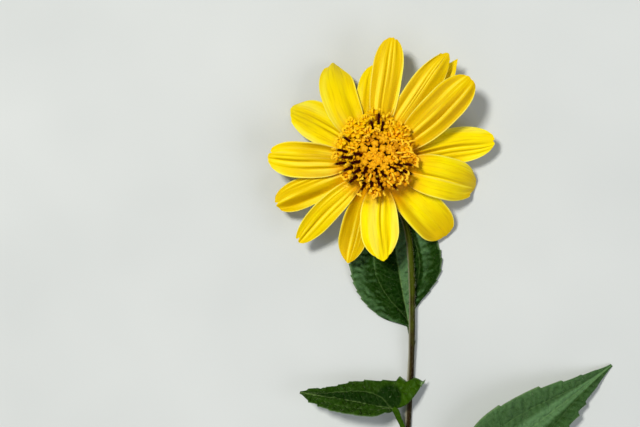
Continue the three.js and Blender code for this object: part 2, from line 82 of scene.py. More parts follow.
# Ray florets. foot: where the ray leaves the rim, in degrees from +X. level: height of its foot over
# the rim. tip: where it ends. width: at its widest, at the share full_at of its length. blunt: how
# round the tip is. lift and dip: slope of the spine at foot and tip. sway: sideways bow. roll: turn
# about the spine at foot and tip. fold: rise of both halves. tone: how golden it is at foot and tip,
# partly its own golden tone and partly painted shade on petals that lay in less light. nicks: where
# across its end the tip is nicked, from -1 at the right to 1, how deep and how wide. pleats: how the
# skin is tilted at places from -1 at the right edge to 1, with 1 for most towards the sun side and -1
# for most away from it; the tilt also sets the painted highlight and painted shade of the skin.
RAY_KEYS = (
    "foot", "level", "tip", "width", "full_at", "blunt",
    "lift", "dip", "sway", "roll", "fold", "tone", "nicks", "pleats",
)
RAYS = [
    (80, 0.5, (4.9, 39.0, 16.5), 10.2, 0.66, 0.5, 14, -8, 3, (0, 0), 4, (1, 0.75),
     [(-0.3, 0.3, 0.1)],
     [
         (-1, 0.8), (-0.78, 0.4), (-0.6, -0.7), (-0.4, -0.8), (-0.26, 0.8), (-0.12, -0.6),
         (0.02, 0.7), (0.2, -0.6), (0.4, 0.6), (0.6, 0.5), (0.72, -0.3), (1, 0.2),
     ]),
    (58, 0.0, (23.2, 34.0, 14.5), 9.8, 0.6, 0.6, 12, -6, 2, (0, 14), 8, (1, 0.7),
     [(0.5, 0.4, 0.2)],
     [
         (-1, 0.4), (-0.85, -0.3), (-0.6, -0.6), (-0.35, -0.6), (-0.2, -0.3), (-0.08, 0.8),
         (0.02, -0.6), (0.1, 0.8), (0.2, -0.5), (0.3, 0.7), (0.48, 0.4), (0.62, -0.6),
         (0.88, -0.7), (1, 0.9),
     ]),
    (43, -0.9, (27.0, 32.6, 11.0), 8.0, 0.6, 1.15, 2, -6, -2, (0, 0), 2, (0.6, 0.4),
     [],
     [
         (-1, 0.3), (-0.4, 0.5), (0, -0.5), (0.5, -0.2), (1, 0.6),
     ]),
    (27, 0.6, (30.7, 25.5, 17.5), 12.7, 0.66, 0.5, 18, -10, -3, (0, -6), 6, (1, 0.75),
     [(-0.15, 0.3, 0.2)],
     [
         (-1, 0.9), (-0.88, 0.2), (-0.75, -0.6), (-0.52, -0.7), (-0.42, 0.6), (-0.32, 0.8),
         (-0.22, -0.8), (-0.02, -0.8), (0.06, 0.5), (0.18, 0.9), (0.27, -0.5), (0.36, 0.8),
         (0.5, 0.5), (0.6, -0.4), (0.85, -0.5), (1, 0.5),
     ]),
    (5, -0.7, (39.5, 5.0, 8.6), 12.2, 0.6, 0.5, -11, -4, 5, (0, 5), -3, (0.4, 0.15),
     [(0, 0.6, 0.1)],
     [
         (-1, 0.7), (-0.75, 0.6), (-0.6, -0.5), (-0.45, 0.5), (-0.33, -0.6), (-0.18, 0.6),
         (-0.08, -0.5), (0.02, -0.9), (0.12, 0.5), (0.22, -0.5), (0.33, 0.5), (0.42, -0.5),
         (0.5, 0.3), (0.75, 0.5), (1, 0.6),
     ]),
    (-22, 0.8, (33.8, -10.4, 0.12), 14.3, 0.52, 0.85, 34, -78, 3, (0, 0), -3, (0.05, 0.85),
     [(0.3, 0.3, 0.2), (-0.78, 1.2, 0.25)],
     [
         (-1, 0.3), (-0.8, 0.2), (-0.5, 0.3), (-0.3, -0.2), (-0.1, 0.7), (0, -0.6), (0.1, -0.3),
         (0.35, 0.3), (0.5, -0.2), (0.7, 0.3), (1, 0.3),
     ]),
    (-53, -0.5, (24.1, -27.3, 2.6), 13.6, 0.66, 0.5, 2, -60, 3, (0, 0), -7, (0, 0.9),
     [(-0.3, 0.3, 0.25)],
     [
         (-1, 0.4), (-0.9, -0.4), (-0.6, -0.5), (-0.4, -0.2), (-0.1, 0.4), (0, -0.5), (0.1, 0.2),
         (0.5, 0.2), (1, 0.4),
     ]),
    (-82, 0.7, (1.9, -35.4, 17.0), 12.8, 0.6, 0.85, 16, -14, -8, (0, 0), -6, (0, 0.1),
     [],
     [
         (-1, 0.8), (-0.88, -0.4), (-0.7, -0.2), (-0.55, 0.7), (-0.3, 0.7), (-0.08, 0.4),
         (0.08, -0.9), (0.18, 0.7), (0.3, 0.3), (0.38, -0.8), (0.55, -0.3), (0.68, 0.7),
         (1, 0.8),
     ]),
    (-105, -0.5, (-9.9, -36.4, 9.0), 9.6, 0.66, 0.85, -3, -14, -6, (0, 10), 14, (1, 0.9),
     [(0.3, 0.2, 0.15)],
     [
         (-1, 0.3), (-0.85, -0.6), (-0.3, -0.6), (-0.1, 0.8), (0.05, -0.5), (0.2, 0.8),
         (0.35, -0.6), (0.5, 0.8), (0.7, -0.4), (1, 0.2),
     ]),
    (-127, 0.1, (-26.5, -29.3, 12.0), 8.6, 0.66, 0.5, 6, -8, -6, (0, -20), 6, (0.6, 0.4),
     [(-0.35, 1.3, 0.14)],
     [
         (-1, 0.8), (-0.85, -0.4), (-0.6, -0.2), (-0.48, 0.7), (-0.38, -0.6), (-0.25, 0.7),
         (-0.1, -0.3), (0.05, -0.8), (0.2, 0.6), (0.32, 0.4), (0.45, -0.6), (0.6, 0.5),
         (0.8, 0.3), (1, 0.7),
     ]),
    (-149, -0.6, (-34.2, -16.6, 9.0), 10.2, 0.68, 0.45, 2, -10, -2, (0, 0), 5, (0.9, 0.8),
     [(-0.1, 0.8, 0.12), (0.5, 0.2, 0.2)],
     [
         (-1, 0.2), (-0.85, -0.3), (-0.7, 0.5), (-0.58, -0.5), (-0.45, 0.5), (-0.33, -0.4),
         (-0.2, 0.8), (-0.05, 0.8), (0.05, -0.6), (0.3, -0.8), (0.5, -0.5), (0.62, 0.4),
         (0.8, 0.6), (1, 0.7),
     ]),
    (-173, 0.5, (-36.8, -0.6, 13.0), 12.1, 0.64, 0.5, 14, -14, 2, (0, 0), -5, (0.9, 0.3),
     [(-0.45, 0.9, 0.1)],
     [
         (-1, 0.3), (-0.9, -0.6), (-0.7, -0.4), (-0.55, 0.5), (-0.35, 0.7), (-0.2, -0.6),
         (-0.1, 0.4), (0.02, -0.7), (0.12, -0.3), (0.2, 0.7), (0.35, 0.4), (0.45, -0.8),
         (0.6, 0.6), (0.85, 0.5), (1, 0.6),
     ]),
    (148, -0.4, (-29.5, 15.8, 0.2), 13.4, 0.52, 0.6, 2, -52, -8, (0, 0), -6, (0.3, 0.2),
     [(0.1, 0.2, 0.15)],
     [
         (-1, 0.5), (-0.5, 0.5), (-0.2, 0.2), (-0.08, -0.6), (0.04, 0.4), (0.15, -0.8),
         (0.28, 0.2), (0.5, 0), (0.7, 0.3), (1, 0.7),
     ]),
    (125, 0.4, (-15.0, 31.7, 0.16), 12.2, 0.56, 0.95, 20, -64, 19, (0, 0), -9, (0.4, 0.3),
     [(0.4, 1.4, 0.28)],
     [
         (-1, 0.3), (-0.6, 0.2), (-0.3, -0.4), (0, -0.3), (0.3, 0.1), (0.7, 0.4), (1, 0.5),
     ]),
    (102, -1.4, (-1.2, 30.6, 8.0), 9.2, 0.6, 0.7, -8, -14, 4, (0, 0), 4, (0.7, 0.3),
     [(0, 0.3, 0.15)],
     [
         (-1, 0), (-0.3, -0.4), (0.1, 0.4), (0.4, -0.3), (0.6, 0.4), (1, 0.7),
     ]),
]
RAY_FOOT_RADIUS = RECEPTACLE_RADIUS + FIT_GAP
RAY_HANDLE = 0.36  # how far a spine holds its first and last direction, as a share of its reach
RAY_NECK = 0.4  # width at the foot, as a share of the widest
RAY_END_WIDTH = 0.12  # the same at the tip, at least
RAY_SHOULDER = 2.2  # how late a petal narrows towards its tip
RAY_FOLDED_AT = 1 / 3  # share of its length where it is fully folded
RAY_CROWDING = 1.1  # how closely its rows of points stand near the tip
PETAL_STEPS = 80
PETAL_STRIPS = 60
PETAL_SHIFT = 20  # from one petal to the next in the patterns, so that no two are alike
EDGE_THINNING = 0.6  # share of its thickness that a petal, bract or leaf loses at its edges
SUN_SIDE = np.array([-0.79, 0.61, 0.0])  # where the flower's light came from, seen from above
PLEAT_SLOPE = 1.1  # steepness of the skin where a pleat's tilt is 1
# The golden tone that a sun-facing ridge loses makes a painted highlight
RIDGE_LIGHT = 0.85  # how far a ridge that faces the sun loses the golden tone
PETAL_END = 0.55  # share of the half width that the row of points along the tip takes up
TIP_SCALLOPS = (0.06, 13)  # half the depth of a tip's scallops, and their radians in a half width
PLEATED_FROM = 0.16  # share of the length from which the pleats have their full height
PLEATS_FADE_FROM = 0.85  # share of it from which they grow lower again
PLEATS_LOST = 0.45  # how much of their height they lose up to the tip
RIB_HEIGHT = 0.03  # of the fine ribs between the pleats
RIB_COUNT = 11  # in a half width
RUFFLE_TURNS = 1.4  # waves of an edge
BOW_HEIGHT = 0.35  # of the slow bow along a petal
BOW_TURNS = 0.8

# Disc florets
FLORET_COUNT = 75
BUD_COUNT = 13
FLORET_ROWS = 13
GOLDEN_ANGLE = math.radians(137.508)
FLORET_FIELD_RADIUS = 8.3
MIDDLE_BUD = (0.11, math.radians(225))  # a last bud, in the gap at the middle of the spiral
FLORET_LEAN = math.radians(40)
FLORET_LENGTH = 6.3  # at the middle of the disc
FLORET_LENGTH_GAIN = 3.2  # from there to its rim
FLORET_BEND = 0.5  # bow of a floret at the rim, as a share of its length
BUD_BEND = 0.4
SPREAD_TOWARDS = math.radians(120)  # the side where the florets have opened widest
SPREAD_WIDTH = 1.4  # in radians round the disc
SPREAD = 0.55  # how much more they lean there

# Where florets shed pollen: degrees round the disc, shares of its radius, and how likely it is
POLLEN_ZONES = [
    (172, 245, 0.35, 0.93, 0.9),
    (245, 318, 0.3, 1.0, 0.5),
    (318, 350, 0.55, 1.0, 0.75),
    (75, 112, 0.62, 0.86, 0.9),
]
POLLEN_ELSEWHERE = 0.07

# A floret that sheds pollen, and an older one. corolla: its share of the floret's length. lobe: size
# of its lobes. neck: from the sheath to where the stigma forks. arc: degrees that its branches turn.
SHEDDING = dict(corolla=0.66, lobe=0.7, neck=(0.1, 0.5), arc=(70, 170))
OLDER = dict(corolla=0.76, lobe=1.0, neck=(0.4, 0.9), arc=(180, 310))
SHEDDING_TILT = (58, 86)  # lean of the sheath, in degrees from upright
OLDER_TILT = (-0.2, 0.3)  # the same in radians from the floret's axis, where it has withered
OLDER_SHEATH = (1.0, 1.5)  # its length there
FORK_HIDDEN = 0.4  # share of the shedding florets whose stigma is still inside the sheath
LEAST_CURL = 0.8  # the tightest and the widest curl, as shares of the usual one
CURL = 1.25
WIDE_CURL = 1.9  # the widest on the side where the branches have opened most
WIDE_CURLS_TOWARDS = -0.6  # that side, in radians round the disc
WIDE_CURLS_WITHIN = 0.6  # cosine of the angle from it up to which they have

# Shapes of a disc floret's parts. Profiles are pairs of height and radius, and tapers are radii at
# even steps, both as shares.
COROLLA_SIDES = 40
COROLLA_WALL = 0.11
COROLLA_TUBE = [(0.0, 0.5), (0.25, 0.42), (0.5, 0.5), (0.72, 0.8), (0.9, 0.98), (1.0, 1.0)]
LOBE_STEPS = (0.25, 0.5, 0.75, 0.92, 1.0)
ARC_STEPS = 9
SHEATH_SIDES = 15
SHEATH_START = 0.8  # how far below the corolla's mouth the sheath starts
SHEATH_RIBS = 0.12
SHEATH_TAPER = (0.85, 1.0, 1.0, 1.0, 0.95, 0.6)
BRANCH_SIDES = 8
BRANCH_TAPER = (0.8, 1.0, 1.15, 1.0, 0.5)
BUD_PROFILE = [
    (0, 0.5), (0.3, 0.5), (0.5, 0.62), (0.64, 0.9), (0.74, 1.08), (0.83, 1.12), (0.9, 0.96),
    (0.95, 0.62), (0.985, 0.3), (1.0, 0.08),
]
BUD_RADIUS = 1.12
BUD_RIBS = 0.16
CROWN_HEIGHT = 0.88  # of the lobes on a bud, as a share of its length
CROWN_RADIUS = 0.7
CROWN_LOBE = 0.8  # their size, as a share of an open floret's
CHAFF_LENGTH = 0.78  # as a share of the floret's
CHAFF_HALF_WRAP = 75  # in degrees round the floret
CHAFF_OUTLINE = (0.9, 1.0, 1.0, 0.9, 0.6, 0.02)
CHAFF_THICKNESS = 0.12

# Bracts. first: where a ring's first bract stands, in degrees. foot: radius and height of the feet
# on the head. lift and dip: slope of the spine at foot and tip, in degrees.
BRACTS_PER_RING = 7
BRACT_RINGS = [
    dict(name="outer", first=0, foot=(4.6, -5.0), length=13.5, width=3.4, lift=2, dip=-54),
    dict(name="middle", first=17, foot=(6.9, -3.75), length=12.5, width=3.6, lift=12, dip=-36),
    dict(name="inner", first=34, foot=(8.7, -2.6), length=9.5, width=3.2, lift=4, dip=-26),
]
BRACT_OUTLINE = (0.55, 0.93, 0.96, 0.47, 0.24, 0.14)  # half widths at even steps, as shares
BRACT_REACH = 0.92  # how far out from the foot the tip lies, as a share of the bract's length
BRACT_RISE = 0.06  # how far it lies up the head's axis
BRACT_DROOP = 0.45  # how much of the dip at the tip lowers it
BRACT_FOLD = math.radians(6)
BRACT_TIP_WIDTH = 0.03  # half width at the very tip, as a share of the width
GROOVE_DEPTH = 0.18
GROOVE_WIDTH = 0.16  # as a share of the half width
BRACT_STEPS = 30
BRACT_STRIPS = 12
BRACT_THICKNESS = 0.42
BRACT_HAIRS = 34  # on each edge
BRACT_HAIR_LENGTH = (0.5, 1.0)
BRACT_HAIR_RADIUS = 0.035

# Receptacle
CUP_PROFILE = [(1.7, 1), (3.4, 0.82), (6.2, 0.62), (8.2, 0.36), (9, 0.12)]  # radius, share of depth
DOME_RINGS = (1, 0.93, 0.85, 0.75, 0.65, 0.5, 0.4, 0.2, 0.05)  # shares of the radius
CUP_SIDES = 72
CUP_RIB_HEIGHT = 0.02  # as a share of the radius
CUP_RIB_COUNT = 12
SHADED_CUP_RINGS = 2  # rings of the cup that get a painted dark brown shade, as the dome does

# Stem
STEM_RADIUS = 1.2
STEM_GROWTH = 0.86  # the skin's share of that radius, and the hairs stand out beyond it
STEM_SWELLING = 0.07  # how much thicker it is under the head
STEM_CHANGE = (0.5, 0.66)  # shares of its length between which the shaggy lower stem turns smoother
STEM_STEPS = 420
STEM_SIDES = 40
STEM_HAIRS = 3400
STEM_HAIR_RADIUS = 0.022
HAIRS_CLEAR = 0.25  # height over the floor that a hair keeps
HAIRS_SHORT_BELOW = 0.9  # height below which hairs are short
CUT_FACE = [(0.25, 1.0), (0.7, 1.0), (0.92, 0.4)]  # its rings, and how much of each is pith
STEM_LINE = [
    (10.6, -151, 1.25),
    (10.3, -132.4, 1.25),
    (9.9, -117, 1.25),
    (9.9, -103.4, 1.25),
    (10.5, -92.2, 1.25),
    (11.1, -81.3, 1.32),
    (11.6, -71, 2),
    (11.8, -62.5, 2.95),
    (11.9, -51.6, 3.4),
    (11.8, -42.7, 4),
    (11.4, -35.2, 4.3),
    (10.7, -28, 4.4),
    (8.6, -20, 4.3),
    (5.3, -12.4, 4.2),
    (1.9, -6.2, 5.1),
    (-0.8, -2.9, 7.2),
    (-1.26, -2.2, 9.7),
]

# Leaves. line: middle line from the foot of the stalk to the tip. stalk: its share of that line.
# left and right: half widths at even steps along the blade. roll and fold: as for the rays, at the
# blade's base and tip. lobe: how far its left and right edges sweep back past its base. young: how
# yellow it is, most of all at its lobe and rims, where the lobe's extra yellow is a painted glow; it
# also deepens the painted shade of the hollow at a lobed blade's foot. quilt: how much it bulges
# between its veins. veins: how pale they are. bumps: how much painted light its bulges' tops get and
# painted shade the lines between them and its short folds. pale: how much painted light it gets
# away from its base. wing: how far the blade runs down the stalk's sides. joint: where the stalk
# leaves the stem. bloom: from -1, painted dark green shade, to 1, painted blue
# green light and sheen, at places from -1 at the right edge to 1. teeth_left and teeth_right: where
# along the blade a tooth ends, and how far it stands out.
LEAVES = {
    "leaf_upper": dict(
        line=[
            (12.1, -62.8, 0.66), (11.2, -58, 0.7), (9.2, -48.2, 0.7), (7.5, -38.3, 0.8),
            (6.1, -28.4, 0.8), (4.5, -18.3, 0.9), (2.8, -8.1, 1.4),
        ],
        stalk=1 / 6,
        left=(0.8, 8.4, 13, 15.3, 16.4, 16.2, 14.8, 12.4, 9, 4.8, 0.6),
        right=(0.8, 2.4, 8.2, 12.8, 14.8, 14.8, 13.6, 11.4, 8.2, 4.3, 0.6),
        roll=(0, 0), fold=(3, 1), lobe=(0, 0),
        young=0.0, quilt=1.3, veins=0.6, bumps=0.9, pale=0.5, wing=0.1,
        joint=(11.9, -63.9, 1.9),
        bloom=[
            (-1, -0.3), (-0.94, -0.6), (-0.8, -0.1), (-0.62, 0.4), (-0.57, 0.4), (-0.52, -1.0),
            (-0.45, -0.8), (-0.36, 0.2), (-0.3, 0.6), (-0.24, 1.1), (-0.05, 1.3), (0, 0.8),
            (0.02, -1), (0.12, -0.9), (0.25, -0.8), (0.42, -0.4), (0.48, 0.1), (0.56, -0.1),
            (0.8, 0.4), (1, 0.5),
        ],
        teeth_left=[
            (0.13, 0.25), (0.19, 0.35), (0.25, 0.5), (0.3, 0.6), (0.36, 0.4), (0.41, 0.55),
            (0.48, 0.6), (0.55, 0.5), (0.63, 0.6), (0.71, 0.5), (0.8, 0.5), (0.89, 0.4),
        ],
        teeth_right=[
            (0.15, 0.25), (0.22, 0.4), (0.28, 0.5), (0.35, 0.6), (0.43, 0.45), (0.49, 0.6),
            (0.57, 0.5), (0.64, 0.6), (0.73, 0.5), (0.82, 0.45), (0.9, 0.4),
        ],
    ),
    "leaf_left": dict(
        line=[
            (9.0, -97.2, 3.15), (8.8, -92.4, 4.6), (7.3, -88.6, 6.6), (5.5, -85.3, 9),
            (0.2, -84.2, 9.6), (-5.1, -83.1, 9.8), (-10.4, -82.1, 9.7), (-15.6, -81.3, 9.4),
            (-20.9, -80.5, 8.8), (-26.1, -79.8, 8),
        ],
        stalk=3 / 9,
        left=(0.8, 3.4, 6.3, 7.8, 8.3, 8.4, 8, 7, 5.2, 2.8, 0.5),
        right=(0.8, 10.5, 10.8, 9.8, 8.4, 6.9, 5.5, 4.2, 3, 1.7, 0.5),
        roll=(46, 46), fold=(24, 8), lobe=(0, 17),
        young=1.0, quilt=1.3, veins=0.9, bumps=0.6, pale=0, wing=0.3,
        joint=(9.9, -98, 2.0),
        bloom=[(-1, 0), (-0.6, -0.1), (-0.4, -0.8), (0, -1.3), (0.12, -0.2), (0.6, 0), (1, -0.4)],
        teeth_left=[(0.25, 0.2), (0.4, 0.3), (0.53, 0.3), (0.66, 0.4), (0.78, 0.5), (0.89, 1.5)],
        teeth_right=[
            (0.105, 1.3), (0.165, 2.0), (0.245, 3.2), (0.32, 0.4), (0.41, 0.8), (0.51, 0.6),
            (0.62, 0.4), (0.74, 0.4), (0.93, 1.7),
        ],
    ),
    "leaf_right": dict(
        line=[
            (12.9, -136, 1.6), (16.3, -127.5, 3.8), (22.5, -119.5, 6.2), (31.2, -110.3, 8.1),
            (40.2, -101.4, 9), (49.8, -93.3, 8.7), (59.9, -85.7, 6.9), (70.1, -78.4, 3.7),
            (80.1, -71.2, 0.4),
        ],
        stalk=2 / 8,
        left=(0.8, 5.5, 9.8, 12.6, 13.5, 12.8, 10.8, 8.2, 5.2, 2.6, 0.5),
        right=(0.8, 4.5, 8.2, 10.8, 11.6, 11, 9.2, 6.9, 4.4, 2.2, 0.5),
        roll=(0, 0), fold=(8, 4), lobe=(0, 0),
        young=0.05, quilt=0.8, veins=0.3, bumps=0.3, pale=0, wing=0.3,
        joint=(10.9, -137.6, 1.3),
        bloom=[
            (-1, 0.35), (-0.3, 0.2), (-0.17, 1.0), (0.2, 1.05), (0.32, 0.4), (0.8, 0.45), (1, 0.7),
        ],
        teeth_left=[
            (0.13, 0.4), (0.22, 0.5), (0.32, 0.5), (0.485, 0.6), (0.67, 1.0), (0.765, 0.7),
            (0.86, 0.5), (0.93, 0.3),
        ],
        teeth_right=[
            (0.14, 0.5), (0.24, 0.8), (0.35, 0.9), (0.47, 1.0), (0.58, 0.9), (0.67, 0.7),
            (0.74, 1.2), (0.8, 1.3), (0.89, 0.4),
        ],
    ),
}
BLADE_OPEN_AT = 0.1  # share of the blade from which it has its full roll and fold
HOLLOW_CENTRE = (2.4, -4.3)  # the round hollow at the foot of a lobed leaf
HOLLOW_RADIUS = 4.4
LOBE_SHARE = 0.45  # share of the blade up to which its edges sweep back
LEAF_STEPS = 230
LEAF_STRIPS = 84
LEAF_SHIFT = 40  # from one leaf to the next in the patterns
BLADE_THICKNESS = 0.3
BLADE_END = 0.3  # least half width of a blade
TOOTH_DIP = 0.35  # how far the edge falls back after a tooth, as a share of the next one
SIDE_VEIN_WEIGHT = 0.7  # depth and width of the two side veins, with 1 for the midrib
SIDE_VEIN_ARCH = (0.0, 0.2, 0.36, 0.45, 0.49, 0.49, 0.46, 0.4, 0.32, 0.2, 0.06)
SMALL_VEINS = (0.12, 0.92, 0.082)  # where along the blade they start: from, up to and every
SMALL_VEIN_WEIGHT = (0.18, 0.36)
QUILT_WIDTH = 1.1  # distance from a vein at which the blade has bulged up
BLISTER_SPACING = 2.1
WRINKLE_SPACING = 2.8
EDGE_WAVE_HEIGHT = 0.5
EDGE_WAVE_RUN = 3.4  # length of one radian of it
LEAF_HAIRS = 450  # on each leaf
LEAF_HAIR_LENGTH = (0.2, 0.4)
LEAF_HAIR_RADIUS = 0.02

# Stalk and midrib: half width and half depth at the stem and at the leaf's tip
STALK_HALF_WIDTH = (0.82, 0.14)
STALK_HALF_DEPTH = (0.62, 0.12)
STALK_FLARE = 0.4  # how much wider it is where it joins the stem
STALK_GROOVE_DEPTH = 0.5
STALK_GROOVE_WIDTH = 0.45
STALK_STEPS = 190
STALK_SIDES = 20
STALK_END = 0.985  # share of its line where the midrib ends
STALK_LOWEST = 0.02  # least height over the floor

# Spacing of the materials' patterns
PETAL_NERVES = 0.8  # the finest nerves lie about 0.4 apart, and are drawn coarser to show
PETAL_CLOUDS = 4.0
PETAL_CELLS = 0.12  # real cells are about 0.04 across, too fine to show
FLORET_MOTTLE = 0.5
FLORET_GRAIN = 0.15  # real cells are about 0.03 across
POLLEN_GRAINS = 0.12  # real grains are about 0.03 across, and clump
LEAF_NET = 2.2
LEAF_NET_BEND = 1.6
LEAF_FINE_NET = 0.8
LEAF_PATCHES = 9.0
LEAF_GRAIN = 0.3  # the bumps at the hairs' feet
STEM_STRIPES = 0.5
STEM_BLOTCHES = 5.0
HAIR_MOTTLE = 3.0
BRACT_NERVES = 0.5
FLESH_PATCHES = 1.2
PAINT_CLOUDS = 60.0
PAINT_PITS = 0.8

# Camera: its height over the floor and the point of the laid-out flower that it looks down on
CAMERA_HEIGHT = 606.7
CAMERA_OVER = (-19.34, -19.5)
CAMERA_LENS = 100.0
CAMERA_SENSOR = 36.0

# Stage. A light's name, place and width in metres, power in watts, and colour
LIGHTS = [
    ("key_softbox", (-0.42, 0.37, 1.25), 0.2, 15.6, "#fffcf4"),
    ("fill_softbox", (0.9, -0.5, 0.9), 0.9, 6.8, "#fbfbff"),
    ("top_softbox", (0.0, 0.1, 1.6), 1.2, 1.0, "#ffffff"),
]
SKY_STRENGTH = 0.2
FLOOR_HALF = 3.0  # half the floor's width, in metres


# Shaping helpers


def unit(vectors):
    """Scales vectors to length 1."""
    return vectors / np.maximum(np.linalg.norm(vectors, axis=-1, keepdims=True), 1e-9)


def ramp(x, low, high):
    """Rises smoothly from 0 at low to 1 at high."""
    t = np.clip((x - low) / (high - low), 0, 1)
    return t * t * (3 - 2 * t)


def hump(x, centre, width):
    """Rises smoothly to 1 at the centre, and falls away over the width on both sides."""
    return np.exp(-(((x - centre) / width) ** 2))


def mix(a, b, t):
    """Goes from a at 0 to b at 1."""
    return a + (b - a) * t


def smooth_value(values, t):
    """Reads a list of values at even steps, on a smooth curve through them."""
    values = np.asarray(values, float)
    last = len(values) - 1
    at = np.clip(t, 0, 1) * last
    i = np.minimum(at.astype(int), last - 1)
    f = at - i
    p0, p1, p2, p3 = (values[np.clip(i + k, 0, last)] for k in (-1, 0, 1, 2))
    v0, v1 = (p2 - p0) / 2, (p3 - p1) / 2
    return (2 * p1 - 2 * p2 + v0 + v1) * f**3 + (3 * (p2 - p1) - 2 * v0 - v1) * f**2 + v0 * f + p1


def curve_points(line, u):
    """Points of the centripetal spline through a line's points, at the shares u of its spans."""
    p = np.asarray(line, float)
    p = np.vstack([2 * p[0] - p[1], p, 2 * p[-1] - p[-2]])
    spans = len(p) - 3
    at = np.clip(u, 0, 1) * spans
    i = np.minimum(at.astype(int), spans - 1)
    f = (at - i)[:, None]
    q = [p[i + k] for k in range(4)]
    d = [np.sqrt(np.linalg.norm(q[k + 1] - q[k], axis=1))[:, None] for k in range(3)]
    t1 = (q[1] - q[0]) / d[0] - (q[2] - q[0]) / (d[0] + d[1]) + (q[2] - q[1]) / d[1]
    t2 = (q[2] - q[1]) / d[1] - (q[3] - q[1]) / (d[1] + d[2]) + (q[3] - q[2]) / d[2]
    t1, t2 = t1 * d[1], t2 * d[1]
    a = 2 * q[1] - 2 * q[2] + t1 + t2
    b = -3 * q[1] + 3 * q[2] - 2 * t1 - t2
    return ((a * f + b) * f + t1) * f + q[1]


def turns(sides):
    """Angles of a circle's points."""
    return np.arange(sides) * 2 * math.pi / sides


def circle(side, up, turn):
    """Directions to the points of a circle, from each pair of directions across a line."""
    return side[:, None] * np.cos(turn)[None, :, None] + up[:, None] * np.sin(turn)[None, :, None]


def round_points(radius, angle, height):
    """Points round the z axis."""
    return np.stack(np.broadcast_arrays(radius * np.cos(angle), radius * np.sin(angle), height), -1)


def plane_points(x, y):
    """Points in a plane, such as a flattened surface."""
    return np.stack(np.broadcast_arrays(x, y), -1)


def run_lengths(points):
    """How far along a line each of its points lies."""
    return np.concatenate([[0], np.cumsum(np.linalg.norm(np.diff(points, axis=0), axis=1))])


def slope_vector(heading, slope):
    """A direction with a heading over the floor and a slope out of it."""
    return np.array(
        [math.cos(slope) * math.cos(heading), math.cos(slope) * math.sin(heading), math.sin(slope)]
    )


def head_point(radius, angle, height):
    """A point on the leaning head, from its place round the head's own axis."""
    return HEAD_TURN @ (radius * math.cos(angle), radius * math.sin(angle), height) + HEAD_CENTRE


def dome_height(radius):
    """Height of the receptacle's dome over its rim."""
    return DOME_HEIGHT - DOME_DROP * (radius / RECEPTACLE_RADIUS) ** 2


def arched_spine(foot, tip, lift, dip, sway, u):
    """Points and directions of a spine that leaves the foot at one slope and ends at another."""
    reach = np.linalg.norm(tip - foot)
    heading = math.atan2(tip[1] - foot[1], tip[0] - foot[0])
    leave = slope_vector(heading + sway, lift) * reach * RAY_HANDLE
    arrive = slope_vector(heading - sway, dip) * reach * RAY_HANDLE
    a, b, c, d = foot, foot + leave, tip - arrive, tip
    t = u[..., None]
    points = a * (1 - t) ** 3 + 3 * b * t * (1 - t) ** 2 + 3 * c * t**2 * (1 - t) + d * t**3
    along = (b - a) * (1 - t) ** 2 + 2 * (c - b) * t * (1 - t) + (d - c) * t**2
    return points, unit(along)


def blade_grid(points, along, v, half_width, roll, fold):
    """Surface of a folded blade, with rows along the spine and columns from right to left edge.

    points and along are (rows, columns or 1, 3); half_width, roll and fold are (rows, 1) or wider."""
    side = unit(np.cross(UP, along))
    normal = np.cross(along, side)
    softness = 0.08  # rounds the crease of the midline
    lift = np.sqrt(v**2 + softness**2) - softness
    across = half_width * v * np.cos(fold)
    rise = half_width * lift * np.sin(fold)
    grid = points + side * (across * np.cos(roll) - rise * np.sin(roll))[..., None]
    return grid + normal * (across * np.sin(roll) + rise * np.cos(roll))[..., None]


def surface_normals(grid):
    """Directions out of a grid, to the left of its rows as they run on."""
    return unit(np.cross(np.gradient(grid, axis=0), np.gradient(grid, axis=1)))


class Piece:
    """Gathers the closed surfaces of one piece, in millimetres, and makes its mesh."""

    FIELDS = ("along", "edge", "mark", "under", "tint", "bloom")

    def __init__(self):
        self.points, self.faces, self.slots, self.uvs = [], [], [], []
        self.fields = {name: [] for name in self.FIELDS}
        self.count = 0

    def add(self, points, faces, slot=0, uv=None, **fields):
        """Adds a closed surface. faces is a list of arrays, with one face a row in each of them."""
        points = points.reshape(-1, 3)
        for group in faces:
            self.faces.append(group + self.count)
            self.slots.append(np.full(len(group), slot))
        self.points.append(points)
        self.uvs.append(np.zeros((len(points), 2)) if uv is None else uv.reshape(-1, 2) / UV_SPAN)
        for name in self.FIELDS:
            values = np.broadcast_to(np.asarray(fields.get(name, 0.0), float).reshape(-1), len(points))
            self.fields[name].append(values)
        self.count += len(points)

    def build(self, name, materials, record_slot, nodes):
        """Makes the piece's object, which rides on the part's body and stands for its nodes."""
        points = (np.concatenate(self.points) + FRAME_SHIFT) * MM
        if not np.isfinite(points).all():
            raise RuntimeError(f"{name} has points with no place")
        faces = [face for group in self.faces for face in group.tolist()]
        mesh = bpy.data.meshes.new(name)
        mesh.from_pydata(points.tolist(), [], faces)
        mesh.polygons.foreach_set("material_index", np.concatenate(self.slots).astype(np.int32))
        mesh.polygons.foreach_set("use_smooth", np.ones(len(faces), bool))
        for material in materials:
            mesh.materials.append(material)
        for field in self.FIELDS:
            values = np.concatenate(self.fields[field]).astype(np.float32)
            mesh.attributes.new(field, "FLOAT", "POINT").data.foreach_set("value", values)
        corners = np.empty(len(mesh.loops), np.int32)
        mesh.loops.foreach_get("vertex_index", corners)
        layer = mesh.uv_layers.new(name="surface")
        layer.data.foreach_set("uv", np.concatenate(self.uvs)[corners].astype(np.float32).ravel())
        mesh.update()
        made = bpy.data.objects.new(name, mesh)
        bpy.context.scene.collection.objects.link(made)
        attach(made, BODY)
        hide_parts(*nodes)


def grid_faces(rows, columns, wrap=False):
    """Quads of a grid whose rows x columns of points face along (next row) x (next column)."""
    i, j = np.meshgrid(np.arange(rows - 1), np.arange(columns - (not wrap)), indexing="ij")
    i, j = i.ravel(), j.ravel()
    k = (j + 1) % columns
    return np.stack([i * columns + j, (i + 1) * columns + j, (i + 1) * columns + k, i * columns + k], 1)


